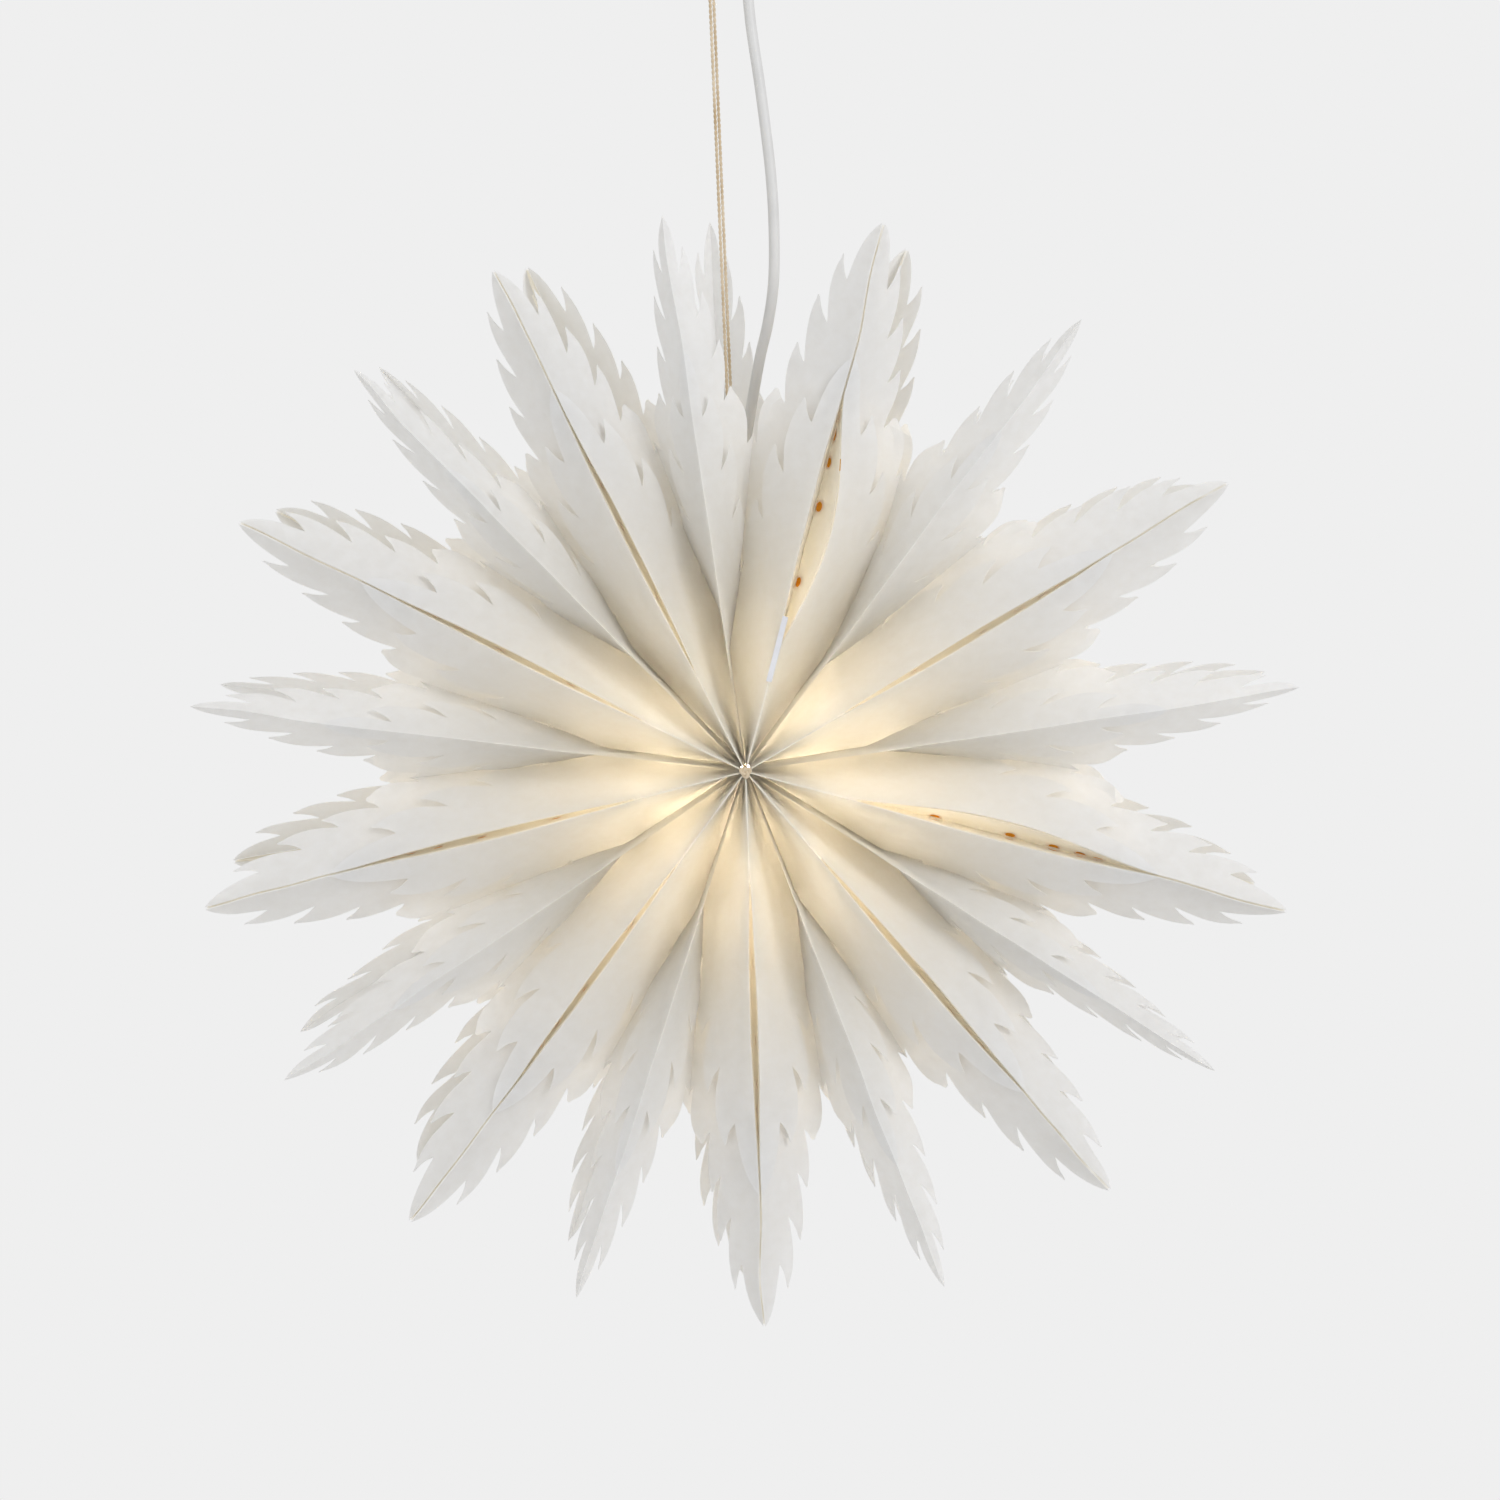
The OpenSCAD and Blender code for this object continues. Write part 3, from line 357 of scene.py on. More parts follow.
# cords
hanging = {
    "saddleZ": -60.0,    # the hook's saddle, below the ceiling plate, mm
    "drop": 450.0,       # from there to the star's middle
}
string = {
    "plyRadius": 0.53,   # mm, two plies make a 1.9 mm strand
    "plySides": 6,
    "twistRadius": 0.42,
    "pitch": 6.0,        # mm for one turn of the plies
    "step": 0.75,        # mm between points along a ply
    "curveSteps": 3,     # points between two corners of the route
    "bendY": 26.5,       # where the string turns up, and the bend's radius
    "bendR": 5,
    "side": [(26.5, 40), (24, 70), (19.5, 118)],  # y and height above the star's middle, mm
    "onTheWay": (0.3, 0.65),                      # shares of the way from there to the saddle
    "strandX": 1.0,      # each strand's distance from the middle plane
    "spread": 60,        # height at which that distance is reached
    "saddleR": 4.8,
    "knotY": 80.4,
    "knotHalf": 0.96,
}
knotShape = {
    "points": 90, "sides": 8,
    "size": 0.92, "rise": 0.62, "radius": 0.98,  # mm
    "hairs": 7, "hairApart": 0.9, "hairTurn": 0.4, "hairSides": 5,
    "hairRadius": 0.14, "hairStep": 0.45, "hairCurl": 0.15, "hairRise": 0.14,
}
cable = {
    "diameter": 6.0,
    "sides": 24,
    "steps": 6,          # points between two corners
    "start": 113.0,      # height above the star's middle
    "mid": [(0, 128), (2, 148), (8, 176), (13, 200), (18, 222), (23, 240), (27, 262),
            (28.5, 290), (28, 322), (24.5, 366), (20.5, 405)],
    "outletX": 19.0,
    "gripEnd": -55.0,
    "straight": 14,      # mm below the grip that hang straight
    "swingsBelow": (0.026, 0, -0.250),  # metres, below this point the cable moves with the star
}


def blendPoint(a, b, c, d, t):
    return 0.5 * ((2 * b) + (c - a) * t + (2 * a - 5 * b + 4 * c - d) * t * t
                  + (3 * b - a - 3 * c + d) * t ** 3)


def smoothRoute(p, steps):
    # a smooth curve through all corners
    n = len(p)
    out = []
    for i in range(n - 1):
        for j in range(steps):
            out.append(blendPoint(p[max(i - 1, 0)], p[i], p[i + 1], p[min(i + 2, n - 1)], j / steps))
    return out + [p[-1]]


def stringRoute():
    # from the front knot through the star, up over the saddle and down to the back knot
    middleZ = hanging["saddleZ"] - hanging["drop"]
    apart, saddleR = string["strandX"], string["saddleR"]
    halves = []
    for side in (-1, 1):
        pts = [(0, side * (string["knotY"] - string["knotHalf"]), middleZ)]
        for step in range(5):
            a = math.radians(22.5 * step)
            pts.append((0, side * (string["bendY"] + string["bendR"] * (1 - math.sin(a))),
                        middleZ + string["bendR"] * (1 - math.cos(a))))
        for y, h in string["side"]:
            pts.append((side * apart * min(1, h / string["spread"]), side * y, middleZ + h))
        y, h = string["side"][-1]
        for share in string["onTheWay"]:
            pts.append((side * apart, side * (saddleR + (y - saddleR) * (1 - share)),
                        middleZ + h + share * (hanging["drop"] - h)))
        halves.append(pts)
    arc = []
    for step in range(10):
        a = math.radians(20 * step)
        arc.append((-apart * math.cos(a), -saddleR * math.cos(a), hanging["saddleZ"] + saddleR * math.sin(a)))
    return [Vector(p) * mm for p in halves[0] + arc + halves[1][::-1]]


def evenSteps(points, step):
    # points at equal distances along a route
    out, carried = [points[0].copy()], 0.0
    for a, b in zip(points, points[1:]):
        length = (b - a).length
        place = step - carried
        while place < length:
            out.append(a.lerp(b, place / length))
            place += step
        carried = length - (place - step)
    out.append(points[-1].copy())
    return out


def carriedFrames(points):
    # two directions square to the route at each point, carried along without twisting
    last = len(points) - 1
    ways = [(points[min(i + 1, last)] - points[max(i - 1, 0)]).normalized() for i in range(last + 1)]
    across = ways[0].orthogonal().normalized()
    frames = []
    for way in ways:
        across = (across - way * across.dot(way)).normalized()
        frames.append((across, way.cross(across)))
    return frames


def tubeMesh(points, radius, sides, verts, faces):
    start = len(verts)
    for p, (a, b) in zip(points, carriedFrames(points)):
        for j in range(sides):
            t = 2 * math.pi * j / sides
            verts.append(p + radius * (math.cos(t) * a + math.sin(t) * b))
    rings = len(points)
    for i in range(rings - 1):
        for j in range(sides):
            a0, b0 = start + i * sides + j, start + i * sides + (j + 1) % sides
            faces.append((a0, b0, b0 + sides, a0 + sides))
    faces.append(tuple(start + j for j in reversed(range(sides))))
    faces.append(tuple(start + (rings - 1) * sides + j for j in range(sides)))


def twistedPair(name, route, material):
    points = evenSteps(smoothRoute(route, string["curveSteps"]), string["step"] * mm)
    frames = carriedFrames(points)
    verts, faces = [], []
    for ply in (0, math.pi):
        line = []
        for i, (p, (a, b)) in enumerate(zip(points, frames)):
            t = ply + 2 * math.pi * i * string["step"] / string["pitch"]
            line.append(p + string["twistRadius"] * mm * (math.cos(t) * a + math.sin(t) * b))
        tubeMesh(line, string["plyRadius"] * mm, string["plySides"], verts, faces)
    o = meshObject(name, verts, faces, material)
    smoothSides(o)
    return o, points


def routeLength(points):
    return sum((b - a).length for a, b in zip(points, points[1:]))


def makeKnot(name, side, cadNode):
    # a pulled-tight overhand knot with short frayed hairs
    shape = knotShape
    verts, faces = [], []
    centre = Vector((0, side * string["knotY"] * mm, starZ))
    loop = []
    turns, sides = shape["points"], shape["sides"]
    for i in range(turns):
        t = 2 * math.pi * i / turns
        x = (math.sin(t) + 2 * math.sin(2 * t)) * shape["size"]
        z = (math.cos(t) - 2 * math.cos(2 * t)) * shape["size"]
        y = -math.sin(3 * t) * shape["rise"]
        loop.append(centre + Vector((x, side * (0.1 + y), z)) * mm)
    ways = [(loop[(i + 1) % turns] - loop[i - 1]).normalized() for i in range(turns)]
    for i, p in enumerate(loop):
        out = (p - centre).normalized()
        a = (out - ways[i] * out.dot(ways[i])).normalized()
        b = ways[i].cross(a)
        for j in range(sides):
            t = 2 * math.pi * j / sides
            swell = 1 + 0.1 * math.sin(i * 1.3 + 2 * t)  # the yarns' uneven thickness
            verts.append(p + shape["radius"] * mm * swell * (math.cos(t) * a + math.sin(t) * b))
    for i in range(turns):
        for j in range(sides):
            a0, b0 = i * sides + j, i * sides + (j + 1) % sides
            n0, n1 = ((i + 1) % turns) * sides + j, ((i + 1) % turns) * sides + (j + 1) % sides
            faces.append((a0, b0, n1, n0))
    for hair in range(shape["hairs"]):
        a = shape["hairApart"] * hair + shape["hairTurn"]
        tail = [centre + Vector((0.6 * math.cos(a), side * 0.2, 0.6 * math.sin(a))) * mm]
        for j in range(1, 5):
            bent = a + shape["hairCurl"] * j
            tail.append(tail[-1] + Vector((shape["hairStep"] * math.cos(bent), side * shape["hairRise"],
                                           shape["hairStep"] * math.sin(bent))) * mm)
        tubeMesh(tail, shape["hairRadius"] * mm, shape["hairSides"], verts, faces)
    o = meshObject(name, verts, faces, cottonTwine)
    smoothSides(o)
    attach(o, "lantern")
    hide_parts(cadNode)
    return o


knots = [makeKnot("frontKnot", -1, "front_knot"), makeKnot("backKnot", 1, "back_knot")]
twine, twinePath = twistedPair("hangingString", stringRoute(), cottonTwine)
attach(twine, "lantern")
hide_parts("hanging_string")
tuple(twinePath[0])
routeLength(twinePath)
[tuple(p) for p in twinePath]


def cableRoute():
    # from the holder up through the top sleeve, round the photo's bend and up to the cord grip
    middleZ = hanging["saddleZ"] - hanging["drop"]
    outlet, end = cable["outletX"], cable["gripEnd"]
    corners = [Vector((0, 0, middleZ + cable["start"]))]
    corners += [Vector((x, 0, middleZ + h)) for x, h in cable["mid"]]
    corners += [Vector((outlet, 0, end - cable["straight"])), Vector((outlet, 0, end))]
    return smoothRoute([p * mm for p in corners], cable["steps"])


cablePath = cableRoute()
cableVerts, cableFaces = [], []
tubeMesh(cablePath, cable["diameter"] * mm / 2, cable["sides"], cableVerts, cableFaces)
mainsCable = meshObject("mainsCable", cableVerts, cableFaces, cablePvc)
smoothSides(mainsCable)
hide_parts("mains_cable")
tuple(cablePath[-1])
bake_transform(mainsCable)
tuple(cablePath[0])
routeLength(cablePath)
[tuple(p) for p in cablePath]
print("cords hang")

# folded paper, all lengths in mm
paper = {
    "longTip": 300.0, "shortTip": 229.0, "longNotch": 178.0, "shortNotch": 106.0,
    "depth": 160.0, "widePleat": 50.0, "narrowPleat": 43.5,
    "sheet": 0.26,            # thickness
    "nest": 0.6,              # from the short layer to the long one
    "poleNest": 0.28,         # the same near the star's middle
    "nestGrows": (15, 60),    # radii between which the one grows to the other
    "pole": 2.8, "longStart": 8.0,  # radii where the two layers start
    # least run of a narrow pleat along the chord, near the middle and from the base radius on
    "polePinch": 0.35, "basePinch": 1.4, "pinchFrom": 25.0, "base": 84.0,
    "leastRun": 0.4,          # least share of the chord that a wide pleat takes
    "onward": 20,             # mm of fold before the notch that give the way on to the tip
    "longValleyTooth": 7.0, "shortValleyTooth": 10.0,
    "cavityR": 62.0,
    "punchD": 5.5, "punchR": [105, 147, 171, 186, 196], "punchInset": 15.0, "punchCorners": 20,
    "rayDeg": [-6, 16.9, 39, 61.7, 84, 107, 125, 141.5, 161.5,
               180.5, 200.1, 218.9, 238.4, 258.5, 279, 299, 318, 335.8],
    "backTurn": [4.4, 3.4, 1.5, 0.6, 0, 0.2, 1, 1, 1.5, 2, 2.2, 2, 2, 1.5, 1, 1, 1, 2.4],
    # a lip's distance from its ridge at the middle, how much more it gets, and between which radii
    "lip": (0.12, 0.53, 34, 80),
    # how far each wide ridge's lips stand off it, clockwise lip and other lip, then from and to radius
    "lipBow": {1: (12.0, 1.4, 64, 208), 3: (1.6, 1.6, 60, 225), 5: (1.2, 9.0, 60, 226),
               7: (1.8, 1.8, 60, 230), 9: (1.6, 1.6, 60, 215), 11: (1.4, 1.4, 60, 215),
               13: (1.8, 1.8, 60, 220), 15: (1.4, 1.4, 60, 215), 17: (1.5, 1.5, 60, 215)},
    "bowPower": 1.2,
    "farBow": 5.0,            # a lip that bows further than this is bent near its edge alone
    "flare": 18.0,            # from the edge over which a far-bowed panel runs back to its place
    "easyFlare": 42,          # the same for the other panels, with its power
    "easyPower": 1.5,
    "panelOff": 0.3,          # from a wide ridge's plane to its panel
    "swell": 1.3,             # how far a wide pleat bulges
    "swellGrows": (30, 90),
    "lift": 5.5,              # how far the short layer's teeth stand off the long layer
    "liftGrows": (85, 170),
    "liftBy": 1.5,            # the lift is whole at 1 / liftBy of the way down to the valley
    "step": 7.0,              # between points on a fold
    "leafGrid": 8.0,          # between points inside a leaf
    "panelGrid": 9.0,         # and inside a panel
    "panelInset": 1.0,        # from a ridge to its panel's edge
    "panelSteps": 20,         # points along the lamp's opening
    "smoothBelow": 24,        # degrees, a sharper fold shows its edge
}
teeth = {
    # for each tooth the slot and the tip, along from notch to tip, then across from ridge to valley
    "long": [(0.751, 0.885, 0.27, 0.39), (0.552, 0.689, 0.41, 0.61),
             (0.376, 0.477, 0.58, 0.76), (0.19, 0.27, 0.70, 0.87)],
    "short": [(0.694, 0.815, 0.24, 0.40), (0.46, 0.60, 0.41, 0.60), (0.25, 0.35, 0.60, 0.76)],
    "narrowShift": 0.1,       # on a narrow pleat all of them stand this much closer to the ridge
    "longNotchShare": 0.94, "shortNotchShare": 0.90,
    "slotReach": 1.0, "slotSteps": 3, "slotBulge": -0.09, "slotLean": 0.42, "slotPieces": 4,
    "tipReach": 3.4, "tipSteps": 6, "tipBulge": 0.06, "tipLean": 0.5, "tipPieces": 2,
    "piece": 4,               # mm of edge between points
}
thinEnds = {
    "curl": 3.2,              # how far thin ends wander
    "from": 120, "over": 180, "power": 1.6,
    "slowWaves": 0.013,       # waves per mm
    "quickWaves": 0.031,
    "apart": (7, 3, 1),       # keeps the two waves unlike
    "frontToBack": 1.6,       # the slow wave's reach along the star's axis
    "quickShare": 0.5,
    "tremble": 0.25, "trembleFrom": 60,
    "seed": 5,                # without one, noise_vector takes its offsets from the clock
}


def rayPoint(r, deg):
    a = math.radians(deg)
    return Vector((r * math.sin(a), r * math.cos(a)))


def clockwise(deg):
    a = math.radians(deg)
    return Vector((math.cos(a), -math.sin(a)))


def rayAngle(i, side):
    n = i % 18
    return paper["rayDeg"][n] + 360 * (i // 18) + (paper["backTurn"][n] if side > 0 else 0)


def wideRay(k, m):
    # the wide ray that half m of sleeve k belongs to
    return 2 * (k - 1) + (-1 if m == 0 else 1)


def foldAngle(k, m, side, wide):
    return rayAngle(wideRay(k, m) if wide else 2 * (k - 1), side)


def bowAt(i, m, r):
    first, second, low, high = paper["lipBow"][i % 18]
    if r <= low or r >= high:
        return 0.0
    return (first if m == 0 else second) * math.sin(math.pi * (r - low) / (high - low)) ** paper["bowPower"]


def lipAt(r):
    closed, more, low, high = paper["lip"]
    return closed + more * smoothStep(low, high, r)


def widePoint(k, m, side, r):
    i = wideRay(k, m)
    a = rayAngle(i, side)
    return rayPoint(r, a) + (1 if m == 0 else -1) * (lipAt(r) + bowAt(i, m, r)) * clockwise(a)


def narrowPoint(k, side, r):
    return rayPoint(r, rayAngle(2 * (k - 1), side))


def pinchAt(r):
    share = min(1, (r - paper["pinchFrom"]) / (paper["base"] - paper["pinchFrom"]))
    return max(paper["polePinch"], paper["basePinch"] * share)


def pleatShape(k, m, side, r):
    # run and depth of the valley and drop of the narrow ridge, measured along the chord between ridges
    w, n = paper["widePleat"], paper["narrowPleat"]
    c = (narrowPoint(k, side, r) - widePoint(k, m, side, r)).length
    run = max(c * paper["leastRun"], min(c - pinchAt(r), (c * c + w * w - n * n) / (2 * c)))
    depth = math.sqrt(w * w - run * run)
    drop = max(0, depth - math.sqrt(n * n - (c - run) ** 2))
    return c, run, depth, drop


def inStar(p, depth, side):
    return Vector((p[0], side * (paper["depth"] / 2 - depth), p[1]))


sectionCache = {}


def section(k, side, r, off):
    # lip and valley of both halves of a pleated sheet at one radius, and its narrow ridge
    key = (k, side, round(r, 3), off)
    if key in sectionCache:
        return sectionCache[key]
    shapes = [pleatShape(k, m, side, r) for m in (0, 1)]
    drop = (shapes[0][3] + shapes[1][3]) / 2
    slopes = [math.atan2(s[2] - drop, s[0] - s[1]) for s in shapes]
    ridgeDepth = drop + off / math.cos(max(slopes))
    halves = []
    for m in (0, 1):
        c, run, depth, _ = shapes[m]
        slope, fall = math.atan2(depth, run), slopes[m]
        n1, n2 = (-math.sin(slope), math.cos(slope)), (math.sin(fall), math.cos(fall))
        d1, d2 = off, n2[0] * c + n2[1] * drop + off
        det = n1[0] * n2[1] - n1[1] * n2[0]
        valley = ((d1 * n2[1] - d2 * n1[1]) / det, (n1[0] * d2 - n2[0] * d1) / det)
        start = widePoint(k, m, side, r)
        way = (narrowPoint(k, side, r) - start).normalized()
        halves.append([inStar(start + way * q[0], q[1], side) for q in ((0, off / math.cos(slope)), valley)])
    ridge = inStar(narrowPoint(k, side, r), ridgeDepth, side)
    sectionCache[key] = (halves, ridge)
    return sectionCache[key]


def foldLines(k, m, side, r, off, wide):
    # the points of a pleat's ridge and valley at one radius; beyond the notch the folds run on straight
    notch, onward = paper["longNotch"], paper["onward"]
    if off:
        off = paper["poleNest"] + (off - paper["poleNest"]) * smoothStep(*paper["nestGrows"], r)
    halves, narrow = section(k, side, min(r, notch), off)
    ridge = halves[m][0] if wide else narrow
    valley = halves[m][1]
    if r <= notch:
        return ridge, valley, valley
    d = rayPoint(r - notch, foldAngle(k, m, side, wide))
    before, _ = section(k, side, notch - onward, off)
    goesOn = (valley - before[m][1]) / onward * (r - notch)
    shift = Vector((d[0], 0, d[1]))
    if wide:
        i = wideRay(k, m)
        bow = bowAt(i, m, r) - bowAt(i, m, notch)
        across = clockwise(rayAngle(i, side)) * (1 if m == 0 else -1) * bow
        shift = shift + Vector((across[0], 0, across[1]))
    return ridge + shift, valley + shift, valley + goesOn


noise.seed_set(thinEnds["seed"])


def wander(p):
    # slow bends of the thin ends, the same for every layer at one place
    r = math.hypot(p[0], p[2])
    grow = max(0.0, (r - thinEnds["from"]) / thinEnds["over"]) ** thinEnds["power"]
    slow = noise.noise_vector(p * thinEnds["slowWaves"])
    quick = noise.noise_vector(p * thinEnds["quickWaves"] + Vector(thinEnds["apart"]))
    bend = thinEnds["curl"] * grow * Vector((slow[0], thinEnds["frontToBack"] * slow[1], slow[2]))
    ripple = thinEnds["quickShare"] * thinEnds["curl"] * grow * quick
    return p + bend + ripple + thinEnds["tremble"] * quick * min(1, r / thinEnds["trembleFrom"])


def leafPoint(k, m, side, r, u, off, wide):
    ridge, valley, valleyLine = foldLines(k, m, side, r, off, wide)
    p = ridge + u * (valley - ridge) + u * smoothStep(0.8, 1, u) * (valleyLine - valley)
    d = rayPoint(1, foldAngle(k, m, side, wide))
    normal = (valley - ridge).cross(Vector((d[0], 0, d[1])))
    if normal.length > 0:
        normal.normalize()
        if normal[1] * side < 0:
            normal = -normal
        rise = 0
        if wide:
            rise = paper["swell"] * math.sin(math.pi * min(1, u)) * smoothStep(*paper["swellGrows"], r)
        if off == 0:
            across = math.sin(math.pi / 2 * min(1, u * paper["liftBy"]))
            rise += paper["lift"] * across * smoothStep(*paper["liftGrows"], r)
        p = p + normal * rise
    return wander(p) * mm + Vector((0, 0, starZ))


def panelPoint(k, m, r, s, behind=0.0):
    # a point of a side panel at distance s from the front; behind moves it into its own sleeve
    i = wideRay(k, m)
    front, back = rayAngle(i, -1), rayAngle(i, 1)
    v = s / paper["depth"]
    sign = 1 if m == 0 else -1
    fromEdge = min(s, paper["depth"] - s)
    bow = bowAt(i, m, r)
    if max(paper["lipBow"][i % 18][:2]) > paper["farBow"]:
        bow *= max(0, 1 - fromEdge / paper["flare"])
    else:
        bow *= max(0, 1 - fromEdge / paper["easyFlare"]) ** paper["easyPower"]
    aside = sign * (paper["panelOff"] + bow + behind)
    atFront = rayPoint(r, front) + aside * clockwise(front)
    atBack = rayPoint(r, back) + aside * clockwise(back)
    p = atFront * (1 - v) + atBack * v
    q = Vector((p[0], -paper["depth"] / 2 + s, p[1]))
    return wander(q) * mm + Vector((0, 0, starZ))


def curved(a, b, bulge, lean, steps):
    # points from a towards b on a shallow arc that is fullest at the share lean; a is left out
    across = Vector((-(b[1] - a[1]), b[0] - a[0]))
    power = math.log(0.5) / math.log(lean)
    out = []
    for j in range(1, steps + 1):
        t = j / steps
        out.append(a.lerp(b, t) + across * (bulge * math.sin(math.pi * t ** power)))
    return out


def roundCorner(p, q, s, reach, steps):
    # the corner at q as a smooth bend between its two edges
    first = q + (p - q).normalized() * min(reach, (p - q).length * 0.48)
    last = q + (s - q).normalized() * min(reach, (s - q).length * 0.48)
    return [first.lerp(q, t).lerp(q.lerp(last, t), t) for t in [j / steps for j in range(steps + 1)]]


def featherEdge(corners):
    # corners run tip, slot, tooth, slot, tooth ... to the valley: full round teeth over narrow slots
    points = [Vector(c) for c in corners]
    line = [points[0]]
    for i in range(1, len(points)):
        a, b = points[i - 1], points[i]
        form = "slot" if i % 2 == 1 else "tip"
        corner = [b]
        if i < len(points) - 1:
            corner = roundCorner(a, b, points[i + 1], teeth[form + "Reach"], teeth[form + "Steps"])
        pieces = max(teeth[form + "Pieces"], int((corner[0] - line[-1]).length / teeth["piece"]))
        line += curved(line[-1], corner[0], teeth[form + "Bulge"], teeth[form + "Lean"], pieces)
        line += corner[1:]
    return line


def leafCorners(layer, tip, width, shift):
    notch = paper[layer + "Notch"]
    corners = [(tip, 0.0)]
    for slot, top, atSlot, atTop in teeth[layer]:
        corners += [(notch + slot * (tip - notch), (atSlot - shift) * width),
                    (notch + top * (tip - notch), (atTop - shift) * width)]
    corners += [(notch + 0.5, (teeth[layer + "NotchShare"] - shift / 3) * width),
                (notch + paper[layer + "ValleyTooth"], width)]
    return corners


def inside(p, ring):
    hit = False
    for i in range(len(ring)):
        a, b = ring[i - 1], ring[i]
        if (a[1] > p[1]) != (b[1] > p[1]) and p[0] < a[0] + (p[1] - a[1]) * (b[0] - a[0]) / (b[1] - a[1]):
            hit = not hit
    return hit


def fillSheet(ring, holes, spacing):
    # triangles that fill a flat outline, with a loose grid of points inside, clear of its edges
    points, edges = [], []
    for loop in [ring] + holes:
        start = len(points)
        points += loop
        edges += [(start + i, start + (i + 1) % len(loop)) for i in range(len(loop))]
    lowR, highR = min(p[0] for p in ring), max(p[0] for p in ring)
    lowS, highS = min(p[1] for p in ring), max(p[1] for p in ring)
    border = list(points)
    clear = (spacing * 0.45) ** 2

    def onSheet(p):
        return inside(p, ring) and not any(inside(p, h) for h in holes)

    rows = int((highS - lowS) / spacing) + 1
    for row in range(1, rows):
        s = lowS + (highS - lowS) * row / rows
        r = lowR + spacing * (0.5 if row % 2 else 1.0)
        while r < highR:
            p = Vector((r, s))
            if onSheet(p) and min((p - q).length_squared for q in border) > clear:
                points.append(p)
            r += spacing
    verts, _, faces = geometry.delaunay_2d_cdt([Vector(p) for p in points], edges, [], 0, 1e-5)[:3]
    kept = [f for f in faces if onSheet(sum((verts[i] for i in f), Vector((0, 0))) / len(f))]
    return verts, kept


def foldSteps(low, high):
    n = max(1, round((high - low) / paper["step"]))
    return [low + (high - low) * i / n for i in range(n + 1)]


def stripFlat(layer, wide):
    # a pleat laid flat: radius and distance from the ridge
    width = paper["widePleat"] if wide else paper["narrowPleat"]
    shift = 0 if wide else teeth["narrowShift"]
    low = paper["pole"] if layer == "short" else paper["longStart"]
    corners = leafCorners(layer, paper[layer + "Tip"], width, shift)
    edge = featherEdge(corners)
    ridge = [Vector((r, 0)) for r in foldSteps(low, corners[0][0])][:-1]
    valley = [Vector((r, width)) for r in foldSteps(low, corners[-1][0])][:-1][::-1]
    foot = [Vector((low, width * t)) for t in (0.8, 0.6, 0.4, 0.2)]
    return fillSheet(ridge + edge + valley + foot, [], paper["leafGrid"]), width


flatStrips = {(layer, wide): stripFlat(layer, wide) for layer in ("short", "long") for wide in (True, False)}
print("pleats cut")


def foldedSheet(bm, k, side, layer):
    off = 0.0 if layer == "short" else paper["nest"]
    for m in (0, 1):
        for wide in (True, False):
            (flat, faces), width = flatStrips[(layer, wide)]
            made = [bm.verts.new(leafPoint(k, m, side, p[0], min(1, p[1] / width), off, wide)) for p in flat]
            for f in faces:
                bm.faces.new([made[i] for i in f])


def sheetObject(name, bm, node, material, thickness=paper["sheet"]):
    bmesh.ops.remove_doubles(bm, verts=bm.verts, dist=0.02 * mm)
    bmesh.ops.recalc_face_normals(bm, faces=bm.faces)
    mesh = bpy.data.meshes.new(name)
    bm.to_mesh(mesh)
    bm.free()
    o = bpy.data.objects.new(name, mesh)
    bpy.context.scene.collection.objects.link(o)
    mesh.materials.append(material)
    thick = o.modifiers.new("thickness", "SOLIDIFY")
    thick.thickness = thickness * mm
    thick.offset = 0
    applyModifiers(o)
    bpy.ops.object.shade_smooth_by_angle(angle=math.radians(paper["smoothBelow"]))
    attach(o, "lantern")
    if node:
        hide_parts(node)


def makeLeaves():
    for k in range(1, 10):
        for side, prefix in ((-1, "front"), (1, "back")):
            bm = bmesh.new()
            foldedSheet(bm, k, side, "long")
            sheetObject(f"{prefix}Leaves_{k}", bm, f"{prefix}_leaves_{k}", leafPaper)
        bm = bmesh.new()
        foldedSheet(bm, k, -1, "short")
        foldedSheet(bm, k, 1, "short")
        sheetObject(f"shortLeaves_{k}", bm, f"short_leaves_{k}", leafPaper)


def panelFlat():
    # a side panel laid flat: radius and distance from the front ridge
    depth, inset, steps = paper["depth"], paper["panelInset"], paper["panelSteps"]
    corners = leafCorners("long", paper["longTip"] - 1, paper["widePleat"], 0)
    corners = [(r, s + inset) for r, s in corners[:-1]]
    front = featherEdge(corners)
    middle = Vector((paper["longNotch"] + paper["longValleyTooth"], depth / 2))
    back = [Vector((p[0], depth - p[1])) for p in front[::-1]]
    low = paper["cavityR"]
    top = [Vector((r, inset)) for r in foldSteps(low, front[0][0])][:-1]
    bottom = [Vector((p[0], depth - p[1])) for p in top[::-1]]
    inner = [Vector((low, inset + (depth - 2 * inset) * t / steps)) for t in range(steps - 1, 0, -1)]
    holes = []
    radius = paper["punchD"] / 2
    turn = [2 * math.pi * j / paper["punchCorners"] for j in range(paper["punchCorners"])]
    for r in paper["punchR"]:
        for s in (paper["punchInset"], depth - paper["punchInset"]):
            holes.append([Vector((r + radius * math.cos(a), s + radius * math.sin(a))) for a in turn])
    return fillSheet(top + front + [middle] + back + bottom + inner, holes, paper["panelGrid"])


flatPanel = panelFlat()
print("panels cut")


def makePanels():
    flat, faces = flatPanel
    for k in range(1, 10):
        bm = bmesh.new()
        for m in (0, 1):
            made = [bm.verts.new(panelPoint(k, m, p[0], p[1])) for p in flat]
            for f in faces:
                bm.faces.new([made[i] for i in f])
        sheetObject(f"sidePanels_{k}", bm, f"side_panels_{k}", panelPaper)


patch = {"radius": 3.7, "corners": 14, "behind": 0.45, "thickness": 0.06}  # mm


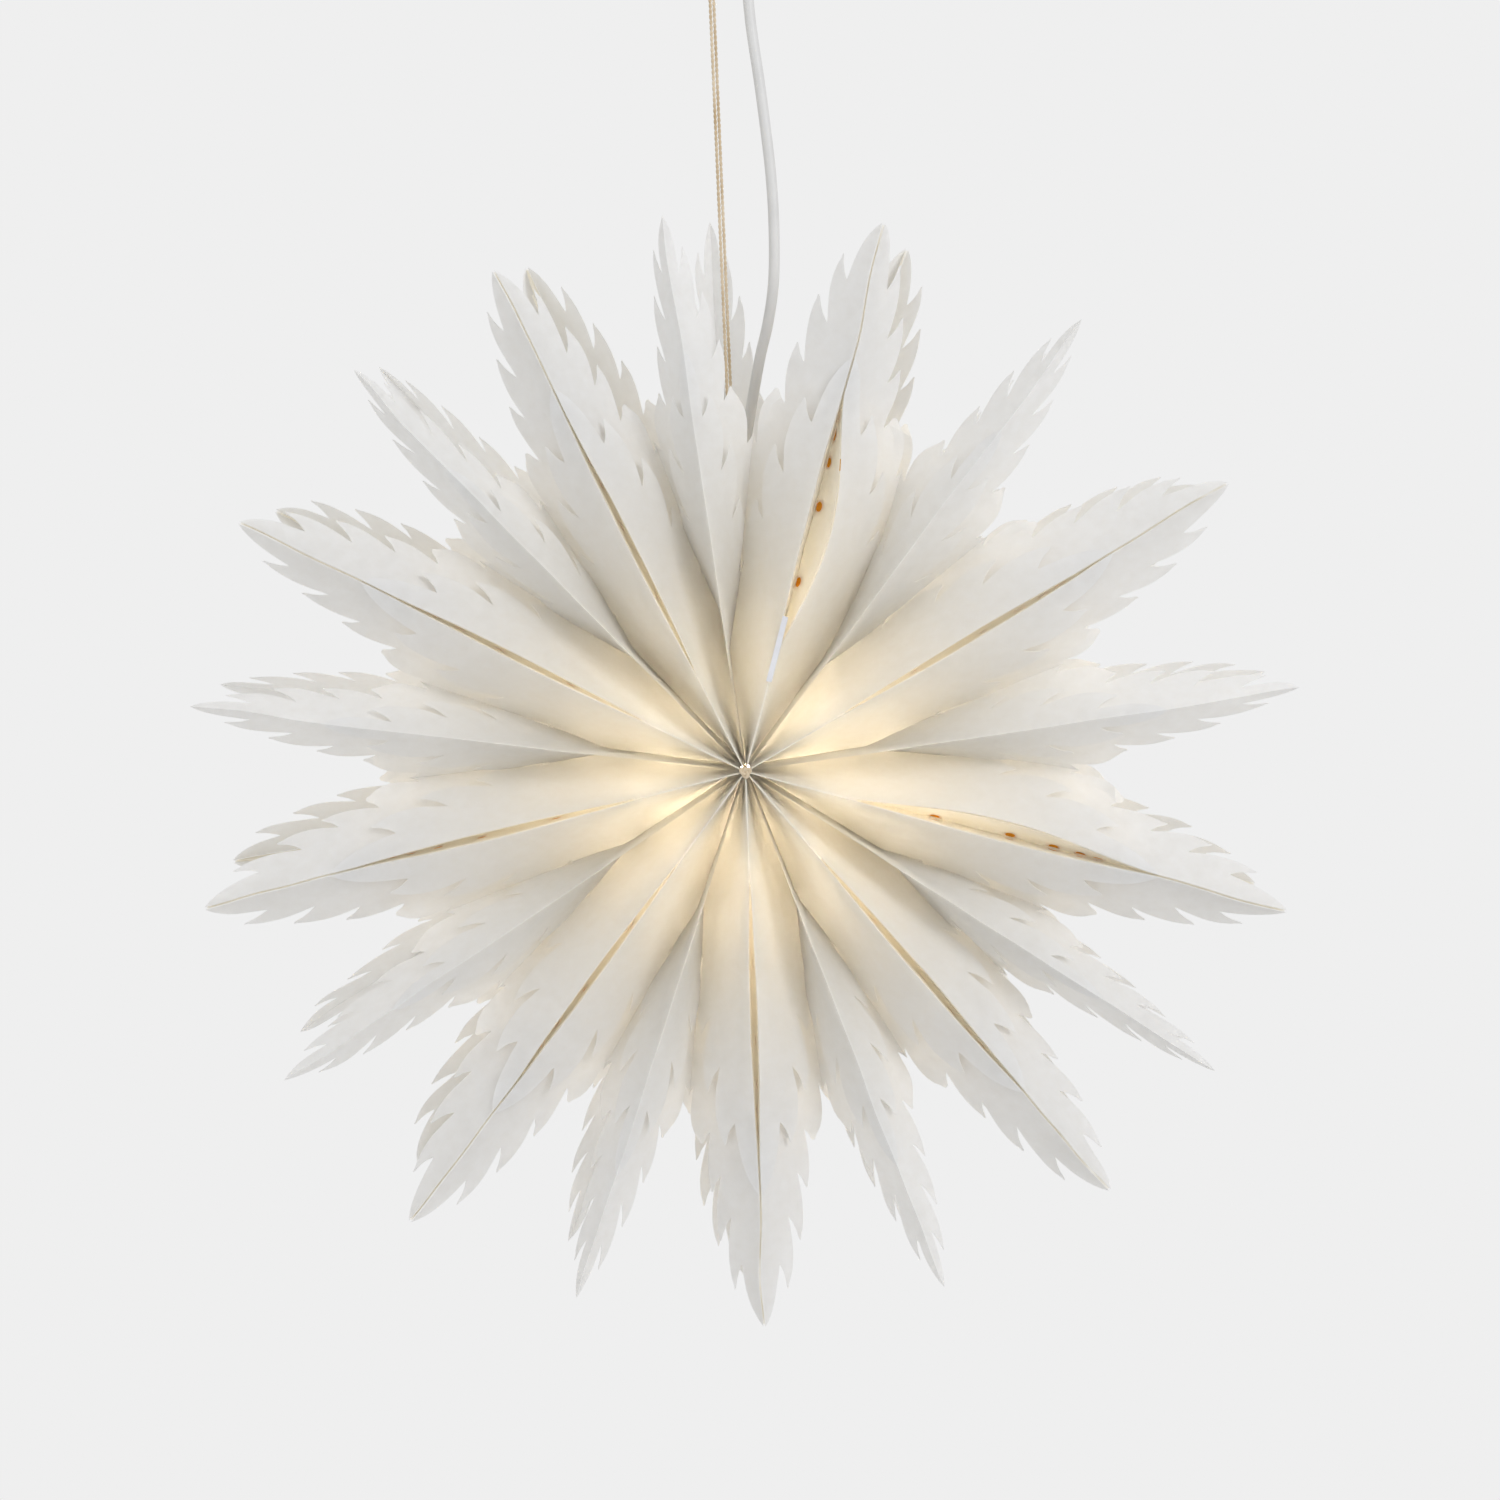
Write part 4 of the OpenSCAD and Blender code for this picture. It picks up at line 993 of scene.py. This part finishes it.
def patchRim(k, m, r, s):
    radius, behind = patch["radius"], patch["behind"]
    turn = [2 * math.pi * j / patch["corners"] for j in range(patch["corners"])]
    return [panelPoint(k, m, r + radius * math.cos(a), s + radius * math.sin(a), behind) for a in turn]


def makeHoleGlowPatches():
    # a patch of amber sheet behind each punched hole, inside the sleeve: painted warm glow for the hole
    for k in range(1, 10):
        bm = bmesh.new()
        for m in (0, 1):
            for s in (paper["punchInset"], paper["depth"] - paper["punchInset"]):
                for r in paper["punchR"]:
                    bm.faces.new([bm.verts.new(p) for p in patchRim(k, m, r, s)])
        sheetObject(f"holeGlowPatch_{k}", bm, None, holeGlowPaint, patch["thickness"])


makeLeaves()
makePanels()
makeHoleGlowPatches()
print("paper folded")


# floor and light
studio = {
    "background": "#EFEFEF",
    "floorColours": ("#EBEBEB", "#F0F0F0"),
    "floorZ": -2.2,
    "floorRadius": 3.0,
    "worldColour": (1.0, 0.995, 0.985, 1),
    "worldLight": 0.62,
    # place, diameter in metres, watts and colour of each soft lamp
    "lamps": {"keyLight": ((1.7, -2.1, 0.7), 1.4, 26.5, "#FAFBFF"),
              "fillLight": ((-1.9, -1.8, -0.3), 1.8, 6.0, "#F6F9FF")},
}


def addFloor():
    # matt wall paint on a smooth floor
    material, tree = newMaterial("paintedFloor")
    place = objectPlace(tree)
    grain = addNode(tree, "ShaderNodeTexNoise", {"Scale": 30.0, "Detail": 3.0}, {"Vector": place})
    low, high = studio["floorColours"]
    tone = colourRamp(tree, grain.outputs["Fac"], [(0.3, linear(low)), (0.7, linear(high))])
    skin = addNode(tree, "ShaderNodeBsdfPrincipled", {"Roughness": 0.9}, {"Base Color": tone})
    finishMaterial(tree, skin.outputs[0])
    deselectAll()
    bpy.ops.mesh.primitive_circle_add(vertices=96, radius=studio["floorRadius"], fill_type="NGON",
                                      location=(0, 0, studio["floorZ"]))
    bpy.ops.object.transform_apply(location=True, rotation=True, scale=True)
    floor = bpy.context.object
    floor.name = "floor"
    floor.data.materials.append(material)


def addWorld():
    # an even light for the object, and the background's own colour for what is seen or mirrored
    world = bpy.data.worlds.new("studio")
    bpy.context.scene.world = world
    world.use_nodes = True
    tree = world.node_tree
    tree.nodes.clear()
    rays = addNode(tree, "ShaderNodeLightPath").outputs
    seen = addNode(tree, "ShaderNodeMath", {"operation": "MAXIMUM"},
                   {0: rays["Is Camera Ray"], 1: rays["Is Glossy Ray"]})
    either = addNode(tree, "ShaderNodeMath", {"operation": "MAXIMUM"},
                     {0: seen.outputs[0], 1: rays["Is Transmission Ray"]})
    light = addNode(tree, "ShaderNodeBackground",
                    {"Color": studio["worldColour"], "Strength": studio["worldLight"]})
    shown = addNode(tree, "ShaderNodeBackground", {"Color": linear(studio["background"]), "Strength": 1.0})
    both = addNode(tree, "ShaderNodeMixShader",
                   links={0: either.outputs[0], 1: light.outputs[0], 2: shown.outputs[0]})
    addNode(tree, "ShaderNodeOutputWorld", links={"Surface": both.outputs[0]})


def addSoftLight(name, place, size, watts, colour):
    data = bpy.data.lights.new(name, "AREA")
    data.shape = "DISK"
    data.size = size
    data.energy = watts
    data.color = linear(colour)[:3]
    o = bpy.data.objects.new(name, data)
    bpy.context.scene.collection.objects.link(o)
    o.location = place
    o.rotation_mode = "QUATERNION"
    o.rotation_quaternion = (Vector((0, 0, starZ)) - Vector(place)).to_track_quat("-Z", "Y")


addFloor()
addWorld()
for name, settings in studio["lamps"].items():
    addSoftLight(name, *settings)
bpy.context.scene.view_settings.view_transform = "Standard"

print("scene made")
